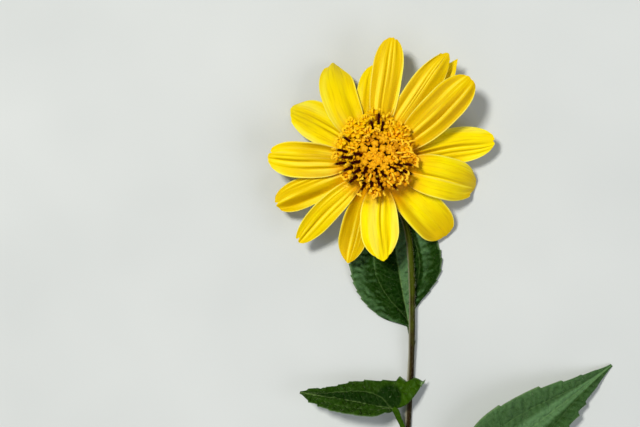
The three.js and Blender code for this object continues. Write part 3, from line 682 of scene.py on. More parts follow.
def add_sheet(piece, grid, thickness, slot=0, uv=None, **fields):
    """Adds a closed sheet round a grid of points, with a thickness at each of them."""
    rows, columns = grid.shape[:2]
    offset = surface_normals(grid) * (thickness / 2)[..., None]
    layer = rows * columns
    front = grid_faces(rows, columns)
    back = front[:, ::-1] + layer
    index = np.arange(layer).reshape(rows, columns)
    rim = np.concatenate([index[0, :-1], index[:-1, -1], index[-1, :0:-1], index[:0:-1, 0]])
    after = np.roll(rim, -1)
    edge = np.stack([rim, after, after + layer, rim + layer], 1)
    points = np.concatenate([(grid + offset).reshape(-1, 3), (grid - offset).reshape(-1, 3)])
    both = {"under": np.repeat([0.0, 1.0], layer)}
    for name, value in fields.items():
        both[name] = np.tile(np.broadcast_to(value, (rows, columns)).ravel(), 2)
    twice = None if uv is None else np.tile(uv.reshape(-1, 2), (2, 1))
    piece.add(points, [front, back, edge], slot, twice, **both)


def add_rings(piece, rings, slot=0, uv=None, **fields):
    """Adds a closed skin through rings of points, (rings, sides, 3), that turn left going up."""
    count, sides = rings.shape[:2]
    wall = grid_faces(count, sides, wrap=True)[:, ::-1]
    low, high = count * sides, count * sides + 1
    j = np.arange(sides)
    k = (j + 1) % sides
    top = (count - 1) * sides
    bottom_fan = np.stack([np.full(sides, low), k, j], 1)
    top_fan = np.stack([np.full(sides, high), top + j, top + k], 1)
    ends = np.stack([rings[0].mean(0), rings[-1].mean(0)])
    points = np.concatenate([rings.reshape(-1, 3), ends])
    spread = {}
    for name, value in fields.items():
        value = np.broadcast_to(value, (count, sides))
        spread[name] = np.concatenate([value.ravel(), [value[0].mean(), value[-1].mean()]])
    if uv is not None:
        uv = np.concatenate([uv.reshape(-1, 2), [uv[0].mean(0), uv[-1].mean(0)]])
    piece.add(points, [wall, bottom_fan, top_fan], slot, uv, **spread)


def tube_rings(path, radii, sides, reference):
    """Rings round a path. radii is one a point, or (points, sides). reference is never along it."""
    along = unit(np.gradient(path, axis=0))
    side = unit(np.cross(reference, along))
    up = np.cross(along, side)
    radii = np.asarray(radii, float)
    radii = radii[:, None] if radii.ndim == 1 else radii
    ring = circle(side, up, turns(sides))
    return path[:, None] + ring * np.broadcast_to(radii, (len(path), sides))[..., None]


def add_hairs(piece, roots, directions, length, radius, slot):
    """Adds a three-sided tapering hair at each root."""
    directions = unit(directions)
    side = unit(np.cross(directions, NEARLY_UP))
    foot = roots[:, None] + radius * circle(side, np.cross(directions, side), turns(3))
    tips = roots + directions * np.asarray(length).reshape(-1, 1)
    points = np.concatenate([foot, tips[:, None]], 1)
    first = np.arange(len(roots))[:, None] * 4
    faces = [first + np.array(face) for face in ((0, 1, 3), (1, 2, 3), (2, 0, 3), (0, 2, 1))]
    piece.add(points, [np.concatenate(faces)], slot)


# Materials


def add_node(tree, kind, inputs=None, output=0, **settings):
    """Adds a node with its settings, gives each input a value or a link, and returns an output."""
    made = tree.nodes.new(kind)
    for name, value in settings.items():
        setattr(made, name, value)
    for name, value in (inputs or {}).items():
        if isinstance(value, bpy.types.NodeSocket):
            tree.links.new(value, made.inputs[name])
        else:
            made.inputs[name].default_value = value
    return made.outputs[output]


def new_material(name, roughness, ior, **constants):
    """A material with a bare Principled shader, whose constants are set on its own sockets."""
    material = bpy.data.materials.new(name)
    material.use_nodes = True
    tree = material.node_tree
    shader = tree.nodes["Principled BSDF"]
    shader.inputs["Roughness"].default_value = roughness
    shader.inputs["IOR"].default_value = ior
    for socket, value in constants.items():
        shader.inputs[socket.replace("_", " ")].default_value = value
    return material, tree


def surface_pattern(tree, across, along, detail=2.0):
    """Uneven pattern on a surface's own coordinates, spaced in millimetres across and along it."""
    uv = add_node(tree, "ShaderNodeUVMap", uv_map="surface")
    placed = add_node(tree, "ShaderNodeMapping", {"Vector": uv, "Scale": (1.0, across / along, 1.0)})
    inputs = {"Vector": placed, "Scale": UV_SPAN / across, "Detail": detail}
    return add_node(tree, "ShaderNodeTexNoise", inputs, "Fac")


def solid_pattern(tree, spacing, detail=2.0):
    """Uneven pattern through a piece's own space, spaced in millimetres."""
    place = add_node(tree, "ShaderNodeTexCoord", output="Object")
    inputs = {"Vector": place, "Scale": 1 / (spacing * MM), "Detail": detail}
    return add_node(tree, "ShaderNodeTexNoise", inputs, "Fac")


def rgba(colour):
    """A colour as a shader socket takes it."""
    return (*colour, 1.0)


def finish_surface(tree, base, layers, reliefs):
    """Colours a material in layers over its base colour, and gives it relief.

    A layer is (pattern, low, high, most, colour): the colour comes in as the pattern goes from low
    to high, up to the share most. A relief is (pattern, height in millimetres). A pattern is a
    socket, or the name of a field that Piece writes."""
    shader = tree.nodes["Principled BSDF"]
    tone = rgba(base)
    for pattern, low, high, most, colour in layers:
        if isinstance(pattern, str):
            pattern = add_node(tree, "ShaderNodeAttribute", output="Fac", attribute_name=pattern)
        inputs = {"Value": pattern, "From Min": low, "From Max": high, "To Max": most}
        share = add_node(tree, "ShaderNodeMapRange", inputs)
        inputs = {"Factor": share, 6: tone, 7: rgba(colour)}
        tone = add_node(tree, "ShaderNodeMix", inputs, 2, data_type="RGBA")
    tree.links.new(tone, shader.inputs["Base Color"])
    normal = None
    for pattern, height in reliefs:
        inputs = {"Height": pattern, "Distance": height * MM}
        if normal:
            inputs["Normal"] = normal
        normal = add_node(tree, "ShaderNodeBump", inputs)
    tree.links.new(normal, shader.inputs["Normal"])


def petal_material(look):
    """Ray floret tissue: thin and full of pigment, so it glows where it is shaded, with golden nerve
    lines.
    Pleats that face away from the sun get a painted golden shade and those that face it a painted
    highlight, the edges a painted pale highlight, the underside is paler, and the feet of the petals
    away from the sun get a painted deep orange shadow of the disc."""
    material, tree = new_material(
        "ray_floret_tissue", 0.45, 1.4, Subsurface_Weight=0.25, Subsurface_Scale=0.3 * MM,
        Subsurface_Radius=(1.0, 0.8, 0.1), Specular_IOR_Level=0.08,
    )
    nerves = surface_pattern(tree, PETAL_NERVES, 16 * PETAL_NERVES, 3.0)
    clouds = surface_pattern(tree, PETAL_CLOUDS, 3 * PETAL_CLOUDS)
    cells = surface_pattern(tree, PETAL_CELLS, 3 * PETAL_CELLS, 1.0)
    layers = [
        (clouds, 0.35, 0.7, 1.0, look.petal_deep),
        # Partly the petals' own golden tone, partly painted shade on petals that lay in less light
        ("tint", 0.0, 1.0, 1.0, look.petal_gold_and_shade),
        (nerves, 0.5, 0.66, 0.32, look.petal_vein_and_shade),
        # Painted shade: pleats that face away from the sun are painted golden; painted highlight: pleats
        # that face it are painted paler
        ("mark", -0.25, -0.85, 0.75, look.petal_vein_and_shade),
        ("mark", 0.35, 0.85, 0.35, look.petal_pale_and_highlight),
        # Painted highlight along the petals' edges
        ("edge", 0.925, 0.975, 0.6, look.petal_pale_and_highlight),
        ("along", 0.24, 0.02, 0.85, look.petal_base),
        # Painted shadow of the disc on the feet of the petals away from the sun
        ("bloom", 0.0, 1.0, 0.8, look.petal_shade),
        ("under", 0.0, 1.0, 0.35, look.petal_pale_and_highlight),
    ]
    finish_surface(tree, look.petal, layers, [(nerves, 0.07), (cells, 0.015)])
    return material


def floret_material(name, roughness, low, high, fresh):
    """Waxy floret tissue that deepens in colour from its mouth to its foot, partly its own deeper colour
    and partly painted shade deep among the florets, and is a clearer yellow in the florets that have
    just opened."""
    material, tree = new_material(
        name, roughness, 1.4, Subsurface_Weight=0.1, Subsurface_Scale=0.4 * MM,
        Subsurface_Radius=(1.0, 0.6, 0.1), Specular_IOR_Level=0.1,
    )
    mottle = solid_pattern(tree, FLORET_MOTTLE)
    layers = [
        # Deeper towards the foot: partly painted shade deep among the florets
        ("along", 0.0, 0.85, 1.0, high),
        (mottle, 0.5, 0.75, 0.3, low),
        ("tint", 0.0, 1.0, 0.8, fresh),
    ]
    finish_surface(tree, low, layers, [(solid_pattern(tree, FLORET_GRAIN), 0.03)])
    return material


def anther_material(look):
    """Fused anthers: a sheath of a brown that is almost black, dull and dry, with specks of pollen
    that thicken at its mouth."""
    material, tree = new_material("anther_sheath", 0.65, 1.45, Specular_IOR_Level=0.06)
    pollen = solid_pattern(tree, POLLEN_GRAINS)
    layers = [(pollen, 0.5, 0.62, 0.2, look.corolla_foot_and_shade), ("along", 0.86, 1.0, 0.5, look.stigma)]
    finish_surface(tree, look.anther, layers, [(pollen, 0.02)])
    return material


def leaf_material(look):
    """Leaf blade: rough with short stiff hairs, so it is dull, with a painted blue green sheen where it
    lay in light and a painted dark green shade in its hollows. A net of sunken veins parts it into
    small fields, and it is paler below."""
    material, tree = new_material(
        "leaf_blade", 0.58, 1.42, Subsurface_Weight=0.08, Subsurface_Scale=0.4 * MM,
        Subsurface_Radius=(0.4, 1.0, 0.15), Specular_IOR_Level=0.06,
    )
    uv = add_node(tree, "ShaderNodeUVMap", uv_map="surface")
    inputs = {"Vector": uv, "Scale": UV_SPAN / LEAF_NET}
    wobble = add_node(tree, "ShaderNodeTexNoise", inputs, "Color")
    inputs = {0: wobble, "Scale": LEAF_NET_BEND / UV_SPAN}
    bent = add_node(tree, "ShaderNodeVectorMath", inputs, operation="SCALE")
    moved = add_node(tree, "ShaderNodeVectorMath", {0: uv, 1: bent}, operation="ADD")
    nets = []
    for spacing in (LEAF_NET, LEAF_FINE_NET):
        inputs = {"Vector": moved, "Scale": UV_SPAN / spacing}
        away = add_node(tree, "ShaderNodeTexVoronoi", inputs, "Distance", feature="DISTANCE_TO_EDGE")
        nets.append(add_node(tree, "ShaderNodeMapRange", {"Value": away, "From Max": 0.3}))
    patches = surface_pattern(tree, LEAF_PATCHES, LEAF_PATCHES, 3.0)
    layers = [
        (patches, 0.35, 0.65, 1.0, look.leaf_deep),
        # The young leaf's own yellow green, and a painted glow on its lobe
        ("tint", 0.0, 1.0, 1.0, look.leaf_young_and_glow),
        # Painted shade: dark green where the leaf lay in shade and in its hollows
        ("bloom", 0.0, -1.0, 0.9, look.leaf_shade),
        # Painted light: blue green sheen where the leaf lay in light
        ("bloom", 0.0, 1.0, 1.0, look.leaf_painted_light),
        (nets[0], 0.27, 0.0, 0.05, look.leaf_vein),
        ("mark", 0.0, 1.0, 0.6, look.leaf_vein),
        ("edge", 0.95, 0.985, 0.4, look.leaf_under),
        ("under", 0.0, 1.0, 0.75, look.leaf_under),
    ]
    grain = surface_pattern(tree, LEAF_GRAIN, LEAF_GRAIN, 1.0)
    finish_surface(tree, look.leaf, layers, [(nets[0], 0.2), (nets[1], 0.06), (grain, 0.05)])
    return material


def stem_material(look):
    """Stem skin: ribbed and satiny, green under the head and flushed reddish brown lower down, with
    pale fine stripes along it. It has a painted highlight on the side towards the sun and a painted
    shade on the other, and its cut face shows the dull pale pith."""
    material, tree = new_material("stem_skin", 0.5, 1.42, Specular_IOR_Level=0.06)
    stripes = surface_pattern(tree, STEM_STRIPES, 32 * STEM_STRIPES, 3.0)
    blotches = solid_pattern(tree, STEM_BLOTCHES, 3.0)
    height = add_node(tree, "ShaderNodeAttribute", output="Fac", attribute_name="along")
    inputs = {"Value": blotches, "From Min": 0.3, "From Max": 0.7, "To Min": -0.07, "To Max": 0.07}
    shift = add_node(tree, "ShaderNodeMapRange", inputs)
    height = add_node(tree, "ShaderNodeMath", {0: height, 1: shift}, operation="ADD")
    layers = [
        (height, 0.55, 0.68, 1.0, look.stem_high),
        (stripes, 0.45, 0.75, 0.25, look.stem_stripe),
        # Painted highlight on the side towards the sun, and painted shade on the side away from it
        ("edge", -0.55, -1.3, 0.7, look.stem_painted_highlight),
        ("edge", 0.3, 0.9, 0.5, look.stem_shade),
        ("mark", 0.0, 1.0, 1.0, look.pith),
    ]
    finish_surface(tree, look.stem_low, layers, [(stripes, 0.12)])
    return material


def hair_material(look):
    """Plant hairs: clear stiff cell walls, which catch the light and read as a pale haze."""
    material, tree = new_material("plant_hairs", 0.35, 1.5)
    mottle = solid_pattern(tree, HAIR_MOTTLE)
    finish_surface(tree, look.hair, [(mottle, 0.0, 1.0, 1.0, look.leaf_under)], [(mottle, 0.01)])
    return material


def bract_material(look):
    """Bracts: leathery and dark green, pale at the foot, with fine nerves along them."""
    material, tree = new_material("bract_tissue", 0.55, 1.42, Sheen_Weight=0.1)
    nerves = surface_pattern(tree, BRACT_NERVES, 20 * BRACT_NERVES)
    layers = [("along", 0.0, 0.5, 1.0, look.bract), (nerves, 0.45, 0.7, 0.5, look.leaf_under)]
    finish_surface(tree, look.pith, layers, [(nerves, 0.08)])
    return material


def receptacle_material(look):
    """Receptacle: pale green flesh, with a painted dark brown shade between the feet of the florets."""
    material, tree = new_material("receptacle_flesh", 0.6, 1.4)
    patches = solid_pattern(tree, FLESH_PATCHES)
    # Painted shade: dark brown on the dome between the florets' feet
    layers = [(patches, 0.35, 0.65, 1.0, look.bract), ("mark", 0.0, 1.0, 1.0, look.dome_painted_shade)]
    finish_surface(tree, look.pith, layers, [(patches, 0.15)])
    return material


def floor_material(look):
    """Floor: board with a matt pale paint, which the roller has left faintly clouded and pitted."""
    material, tree = new_material("matte_wall_paint", 0.75, 1.5)
    layers = [(solid_pattern(tree, PAINT_CLOUDS), 0.3, 0.7, 0.12, look.floor_shade)]
    finish_surface(tree, look.floor, layers, [(solid_pattern(tree, PAINT_PITS), 0.02)])
    return material


# Settings that a user would change


def colour_property(name, description, code):
    """A colour that a user picks, with its sRGB hex value to begin with."""
    return bpy.props.FloatVectorProperty(
        name=name, description=description, subtype="COLOR", size=3, min=0, max=1, default=linear(code)
    )


def length_property(name, description, millimetres):
    """A fine length that a user sets, with its value in millimetres to begin with."""
    return bpy.props.FloatProperty(
        name=name, description=description, unit="LENGTH", precision=5, min=0, max=0.05,
        default=millimetres * MM,
    )


def settings(context):
    """The flower's colours, and its fine sizes in millimetres."""
    group = context.scene.flower_sizes
    sizes = {name: getattr(group, name) / MM for name in group.__annotations__}
    return context.scene.flower_colours, SimpleNamespace(**sizes)


class FlowerColours(bpy.types.PropertyGroup):
    """Colours of the flower"""

    petal: colour_property("Petal", "Main yellow of the petals", "#fce800")
    petal_deep: colour_property("Petal, deep", "Deeper yellow of their clouding", "#f8dc00")
    # Painted shade in part: petals that lay in less light are mixed towards this gold
    petal_gold_and_shade: colour_property("Petal, gold", "Yellow of the petals with a golden tone", "#dcb600")
    # Golden nerve lines, and also the painted shade on pleats that face away from the sun
    petal_vein_and_shade: colour_property("Petal vein", "Golden lines along the grooves", "#b88e00")
    # The really paler underside, and also the painted highlight on the edges and on pleats that face the
    # sun
    petal_pale_and_highlight: colour_property("Petal rim", "Paler edge and underside", "#fff470")
    petal_base: colour_property("Petal base", "Orange gold at the foot", "#f0a000")
    # Painted shadow of the disc on the petals' feet
    petal_shade: colour_property("Petal foot, shaded", "Deep orange behind the disc", "#cc7c00")
    corolla: colour_property("Floret mouth", "Lobes of the disc florets", "#feb60a")
    corolla_fresh: colour_property("Floret mouth, fresh", "Lobes that have just opened", "#ffd000")
    # Partly the florets' own deeper foot, partly painted shade deep among them
    corolla_foot_and_shade: colour_property("Floret tube", "Foot of the disc florets", "#801800")
    # Painted shade between the florets' feet
    dome_painted_shade: colour_property("Chaff", "Brown between the florets", "#2a0e04")
    bud: colour_property("Bud", "Closed florets at the middle", "#f2b012")
    # Partly the buds' own deeper foot, partly painted shade deep among them
    bud_foot_and_shade: colour_property("Bud foot", "Foot of the closed florets", "#8a4200")
    anther: colour_property("Anthers", "Dark sheath of the anthers", "#260200")
    stigma: colour_property("Stigma", "Curled stigma branches and pollen", "#ffce30")
    leaf: colour_property("Leaf", "Upper side of the leaves", "#1f400a")
    leaf_deep: colour_property("Leaf, deep", "Darker patches of the leaves", "#142e04")
    # Painted shade of the leaves' hollows and shaded places
    leaf_shade: colour_property("Leaf, shaded", "Darkest green of the leaves' hollows", "#0a2600")
    # Painted light and sheen on the leaves' lit places
    leaf_painted_light: colour_property("Leaf bloom", "Blue green bloom on the leaves", "#567a4e")
    # Partly the young leaf's own yellow green, partly a painted glow on its lobe
    leaf_young_and_glow: colour_property("Leaf, young", "Yellow green of the youngest leaf", "#2e4e00")
    leaf_vein: colour_property("Leaf vein", "Veins of the leaves", "#7f9e58")
    leaf_under: colour_property("Leaf, below", "Underside of the leaves", "#7d9a66")
    bract: colour_property("Bract", "Green of the bracts", "#3f5f2c")
    stem_high: colour_property("Stem, upper", "Green below the head", "#3c4600")
    stem_low: colour_property("Stem, lower", "Reddish brown lower down", "#220d02")
    # Painted highlight on the side towards the sun
    stem_painted_highlight: colour_property("Stem, near side", "Sunlit side of the stem", "#ccc9b0")
    # Painted shade on the side away from the sun
    stem_shade: colour_property("Stem, far side", "Side of the stem away from the sun", "#171602")
    stem_stripe: colour_property("Stem stripes", "Fine stripes along the stem", "#868c40")
    pith: colour_property("Pith", "Cut face and pale flesh", "#b7c088")
    hair: colour_property("Hairs", "Stiff pale hairs", "#e8d8cc")
    floor: colour_property("Floor", "Pale floor", "#cfd3d3")
    floor_shade: colour_property("Floor clouding", "Faint clouds on the floor", "#8f9698")
    sky: colour_property("Surroundings", "Soft light from all around", "#dfe6ea")


class FlowerSizes(bpy.types.PropertyGroup):
    """Sizes of the flower's fine shapes"""

    petal_thickness: length_property("Petal thickness", "Thickness of a petal", 0.26)
    ruffle: length_property("Ruffle", "Height of the waves in a petal's edges", 0.4)
    corolla_radius: length_property("Floret radius", "Radius of a disc floret's mouth", 1.0)
    lobe_length: length_property("Lobe length", "Length of a disc floret's lobes", 1.5)
    anther_radius: length_property("Anther radius", "Radius of the anther sheath", 0.42)
    anther_length: length_property("Anther length", "Length of the sheath that shows", 3.7)
    style_radius: length_property("Style radius", "Radius of a stigma branch", 0.3)
    curl_radius: length_property("Curl radius", "Radius of a stigma branch's curl", 0.5)
    vein_depth: length_property("Vein depth", "Depth of the leaves' main veins", 0.45)
    quilting: length_property("Quilting", "Rise of the leaf between its veins", 0.6)
    blister: length_property("Blisters", "Rise of the small bulges of a leaf", 0.34)
    wrinkle: length_property("Wrinkles", "Rise of the short folds across a leaf", 0.24)
    hair_length: length_property("Hair length", "Length of the stem's hairs", 0.9)


# Pieces


def petal_fullness(ray, u):
    """How wide a petal is at the shares u of its length, with 1 for its widest."""
    rising = RAY_NECK + (1 - RAY_NECK) * (1 - np.clip(1 - u / ray["full_at"], 0, 1) ** 3)
    rest = np.clip((u - ray["full_at"]) / (1 - ray["full_at"]), 0, 1)
    falling = np.maximum((1 - rest**RAY_SHOULDER) ** ray["blunt"], RAY_END_WIDTH)
    return np.where(u < ray["full_at"], rising, falling)


def petal_stations(ray, index, u, v, reach):
    """Where on the spine each point of a petal lies, and where the edge of its row does.

    Beyond full_at the rows bow, until the last one lies along the round tip."""
    full_at = ray["full_at"]
    tail = 1 - full_at
    end = full_at + tail * (1 - (PETAL_END * np.abs(v)) ** (1 / ray["blunt"])) ** (1 / RAY_SHOULDER)
    edge_end = end[0, 0]
    depth, turn = TIP_SCALLOPS
    cut = depth * (1 - np.cos(v * turn + index))
    for place, depth, width in ray["nicks"]:
        cut = cut + depth * hump(v, place, width)
    end = end - cut / reach * (1 - v**6)
    past = np.maximum(0, u - full_at) / tail
    station = np.where(u < full_at, u, full_at + past * (end - full_at))
    return station, np.where(u < full_at, u, full_at + past * (edge_end - full_at))


def petal_pleats(ray, u, v, rng):
    """How the skin slopes across a petal, and the height of its pleats, the slope's running sum."""
    drift = 0.035 * np.sin(3.5 * u + rng.uniform(0, 6)) + 0.02 * np.sin(9 * u + rng.uniform(0, 6))
    slope = np.interp(v + drift, *zip(*ray["pleats"]))
    slope = slope * (1 + 0.5 * np.sin(4 * u + 5 * v + rng.uniform(0, 6)))
    height = np.cumsum(slope, axis=1) * 2 / PETAL_STRIPS
    return slope, height - mix(height[:, :1], height[:, -1:], (v + 1) / 2)


def petal_piece(ray, index, sizes):
    """One ray floret: a pleated, slightly ruffled sheet on its spine."""
    rng = np.random.default_rng(100 + index)
    u = (np.sin(np.linspace(0, 1, PETAL_STEPS + 1) * math.pi / 2) ** RAY_CROWDING)[:, None]
    v = np.linspace(-1, 1, PETAL_STRIPS + 1)[None, :]
    tip = np.array(ray["tip"])
    foot = head_point(RAY_FOOT_RADIUS, math.radians(ray["foot"]), ray["level"])
    reach = np.linalg.norm(tip - foot)
    station, edge_station = petal_stations(ray, index, u, v, reach)
    slopes = [math.radians(ray[key]) for key in ("lift", "dip", "sway")]
    points, along = arched_spine(foot, tip, *slopes, station)
    half = ray["width"] / 2 * petal_fullness(ray, edge_station)
    roll = np.radians(mix(*ray["roll"], u))
    fold = np.radians(ray["fold"]) * np.minimum(1, u / RAY_FOLDED_AT)
    grid = blade_grid(points, along, v, half, roll, fold)

    # Pleats, fine ribs between them, waves of the edge and a slow bow along the petal
    facing = -np.sign(np.cross(UP, tip - foot) @ SUN_SIDE)
    slope, height = petal_pleats(ray, u, v, rng)
    fading = ramp(u, 0.0, PLEATED_FROM) * (1 - PLEATS_LOST * ramp(u, PLEATS_FADE_FROM, 1.0))
    relief = facing * PLEAT_SLOPE * half * fading * height
    ribs = RIB_HEIGHT * np.cos(2 * math.pi * RIB_COUNT * v + rng.uniform(0, 6))
    relief = relief + ribs * (half / half.max() * fading)
    phase = rng.uniform(0, 2 * math.pi, 2)
    wave = np.sin(2 * math.pi * (RUFFLE_TURNS * u + 0.25 * np.sign(v)) + phase[0])
    relief = relief + sizes.ruffle * np.abs(v) ** 3 * wave * ramp(u, 0.2, 0.6)
    relief = relief + BOW_HEIGHT * np.sin(2 * math.pi * BOW_TURNS * u + phase[1]) * ramp(u, 0.1, 0.5)
    grid = grid + surface_normals(grid) * relief[..., None]

    thickness = sizes.petal_thickness * (1 - EDGE_THINNING * np.abs(v) ** 6) * np.ones_like(relief)
    uv = plane_points(v * half.max() + PETAL_SHIFT * index, station * reach)
    # Painted light and shade: positive where a pleat faces the sun, negative where it faces away
    mark = slope * fading
    # Golden tone, partly painted shade on petals that lay in less light, with a painted highlight on
    # ridges that face the sun
    tone = mix(*ray["tone"], ramp(station, 0.4, 0.95)) * (1 - RIDGE_LIGHT * ramp(mark, 0.2, 0.7))
    # Painted shadow of the disc on the feet of the petals that point away from the sun
    behind = max(0.0, (foot - tip) @ SUN_SIDE / reach)  # 1 where the disc stands between petal and sun
    shade = behind**2 * ramp(station, 0.4, 0.1)
    piece = Piece()
    add_sheet(
        piece, grid, thickness, 0, uv,
        along=station, edge=np.abs(v), mark=mark, tint=tone, bloom=shade,
    )
    return piece


def floret_place(share, angle):
    """How a disc floret stands on the dome, at a share of its radius and an angle round it."""
    radius = FLORET_FIELD_RADIUS * share
    spread = hump(math.remainder(angle - SPREAD_TOWARDS, 2 * math.pi), 0, SPREAD_WIDTH)
    return dict(
        share=share,
        radius=radius,
        angle=angle,
        height=dome_height(radius) + FIT_GAP,
        lean=FLORET_LEAN * share * (1 + SPREAD * spread),
        fresh=spread * ramp(share, 0.4, 0.9),
        length=FLORET_LENGTH + FLORET_LENGTH_GAIN * share,
    )


def spiral_place(index):
    """The place of a floret on the spiral that they all stand in, counted from the middle."""
    return floret_place(math.sqrt((index + 0.5) / FLORET_COUNT), index * GOLDEN_ANGLE)


def floret_to_head(points, place, bend):
    """Bends a floret's points, whose axis is z, and stands them at its place on the head."""
    x, y, z = points[..., 0], points[..., 1], points[..., 2]
    share = z / place["length"]
    x = x + bend * place["length"] * (share**2 - share)
    lean, turn = place["lean"], place["angle"]
    outward = x * math.cos(lean) + z * math.sin(lean) + place["radius"]
    upward = z * math.cos(lean) - x * math.sin(lean) + place["height"]
    c, s = math.cos(turn), math.sin(turn)
    turned = np.stack([outward * c - y * s, outward * s + y * c, upward], -1)
    return turned @ HEAD_TURN.T + HEAD_CENTRE


def corolla_rings(height, radius, lobe, curl, spin):
    """A disc floret's corolla: a tube that widens to a mouth with five lobes bent outwards."""
    turn = turns(COROLLA_SIDES)
    across = (turn * 5 / (2 * math.pi)) % 1 * 2 - 1  # -1 to 1 over each lobe
    reach = 0.06 + 0.94 * (1 - np.abs(across) ** 1.7)
    rows = [(r * radius, z * height) for z, r in COROLLA_TUBE]
    for share in LOBE_STEPS:
        run = lobe * share * reach
        bend = curl * share * 0.75
        rows.append((radius + run * math.sin(bend), height + run * math.cos(bend)))
    mouth = len(COROLLA_TUBE) - 1
    rows += [(r - COROLLA_WALL, z + 0.6 * COROLLA_WALL) for r, z in rows[: mouth - 1 : -1]]
    rows.append((0.6 * radius, 0.72 * height))
    return np.stack([round_points(r, turn + spin, z) for r, z in rows])


def arc_path(start, tilt, azimuth, length):
    """A path that starts along z and bends by the angle tilt. Also gives its last direction."""
    angle = tilt * (np.arange(ARC_STEPS) + 0.5) / ARC_STEPS
    out = np.concatenate([[0], np.cumsum(np.sin(angle))]) * length / ARC_STEPS
    rise = np.concatenate([[0], np.cumsum(np.cos(angle))]) * length / ARC_STEPS
    heading = np.array([math.cos(azimuth), math.sin(azimuth), 0.0])
    path = start + out[:, None] * heading + rise[:, None] * UP
    return path, math.sin(tilt) * heading + math.cos(tilt) * UP


def pollen_chance(share, angle):
    """How likely the florets at this place, in degrees round the disc, are to shed pollen."""
    for first, last, inner, outer, chance in POLLEN_ZONES:
        if first <= angle < last and inner < share < outer:
            return chance
    return POLLEN_ELSEWHERE


def stigma_branches(kind, place, foot, end, rng, sizes):
    """Rings of the two branches that curl back from the end of a sheath."""
    opening = rng.uniform(0, math.pi)
    across = unit(np.cross(end, np.array([math.cos(opening), math.sin(opening), 0.05])))
    neck = rng.uniform(*kind["neck"])
    turn = np.linspace(0, math.radians(rng.uniform(*kind["arc"])), 15)
    wide = math.cos(place["angle"] - WIDE_CURLS_TOWARDS) > WIDE_CURLS_WITHIN
    radius = sizes.curl_radius * rng.uniform(LEAST_CURL, WIDE_CURL if wide else CURL)
    out = radius * (1 - np.cos(turn))
    rise = neck + radius * np.sin(turn)
    branches = []
    for side in (-1, 1):
        branch = foot + side * out[:, None] * across + rise[:, None] * end
        branch = np.vstack([foot - 0.4 * end, branch])
        thickness = sizes.style_radius * smooth_value(BRANCH_TAPER, np.linspace(0, 1, len(branch)))
        branches.append(tube_rings(branch, thickness, BRANCH_SIDES, np.cross(end, across)))
    return branches


def add_open_floret(piece, index, sizes):
    """A disc floret in flower: corolla, anther sheath and curled stigma branches."""
    rng = np.random.default_rng(700 + index)
    place = spiral_place(index)
    bend = FLORET_BEND * place["share"] + rng.uniform(-0.05, 0.05)
    sheds = rng.random() < pollen_chance(place["share"], math.degrees(place["angle"]) % 360)
    kind = SHEDDING if sheds else OLDER
    height = place["length"] * kind["corolla"] * rng.uniform(0.92, 1.06)
    radius = sizes.corolla_radius * rng.uniform(0.9, 1.12)
    curl = math.radians(rng.uniform(80, 150))
    lobe = sizes.lobe_length * rng.uniform(0.85, 1.15) * kind["lobe"]
    rings = corolla_rings(height, radius, lobe, curl, rng.uniform(0, 6))
    # Darker towards the floret's foot, partly painted shade deep among the florets
    high = np.clip(rings[..., 2] / height, 0, 1) ** 3 - rng.uniform(0, 0.6)
    fresh = place["fresh"] * ramp(rings[..., 2] / height, 0.1, 0.6)
    add_rings(piece, floret_to_head(rings, place, bend), 0, along=high, tint=fresh)

    # The sheath leans out over the mouth, the more so where the floret itself stands upright
    stands = place["lean"] + math.atan(bend)
    tilt = math.radians(rng.uniform(*SHEDDING_TILT)) - stands if sheds else rng.uniform(*OLDER_TILT)
    azimuth = rng.normal(0, 0.55)
    if sheds:
        length = sizes.anther_length * rng.uniform(0.85, 1.15) + SHEATH_START
    else:
        length = rng.uniform(*OLDER_SHEATH)
    path, end = arc_path(np.array([0, 0, height - SHEATH_START]), tilt, azimuth, length)
    along = np.linspace(0, 1, len(path))[:, None]
    ribs = 1 + SHEATH_RIBS * np.cos(5 * turns(SHEATH_SIDES))
    thickness = sizes.anther_radius * smooth_value(SHEATH_TAPER, along) * ribs
    rings = tube_rings(path, thickness, SHEATH_SIDES, np.array([0.1, 1.0, 0.1]))
    slot = 1 if sheds else 0
    add_rings(piece, floret_to_head(rings, place, bend), slot, along=along, tint=place["fresh"])

    branches = stigma_branches(kind, place, path[-1], end, rng, sizes)
    if sheds and rng.random() < FORK_HIDDEN:
        return
    for rings in branches:
        high = mix(0.3, 1, np.linspace(0, 1, len(rings)))[:, None]
        add_rings(piece, floret_to_head(rings, place, bend), 2, along=high, tint=place["fresh"])


def add_chaff(piece, place, slot):
    """The boat-shaped pointed scale that clasps a floret's foot."""
    z = np.linspace(0.0, CHAFF_LENGTH * place["length"], 11)[:, None]
    share = z / z[-1]
    around = np.linspace(-1, 1, 9) * (math.radians(CHAFF_HALF_WRAP) * smooth_value(CHAFF_OUTLINE, share))
    grid = round_points(1.0 + 0.15 * share, around, z)
    grid = floret_to_head(grid, place, FLORET_BEND * place["share"])
    thickness = np.full(grid.shape[:2], CHAFF_THICKNESS)
    add_sheet(piece, grid, thickness, slot, along=0.6 * share, tint=place["fresh"])


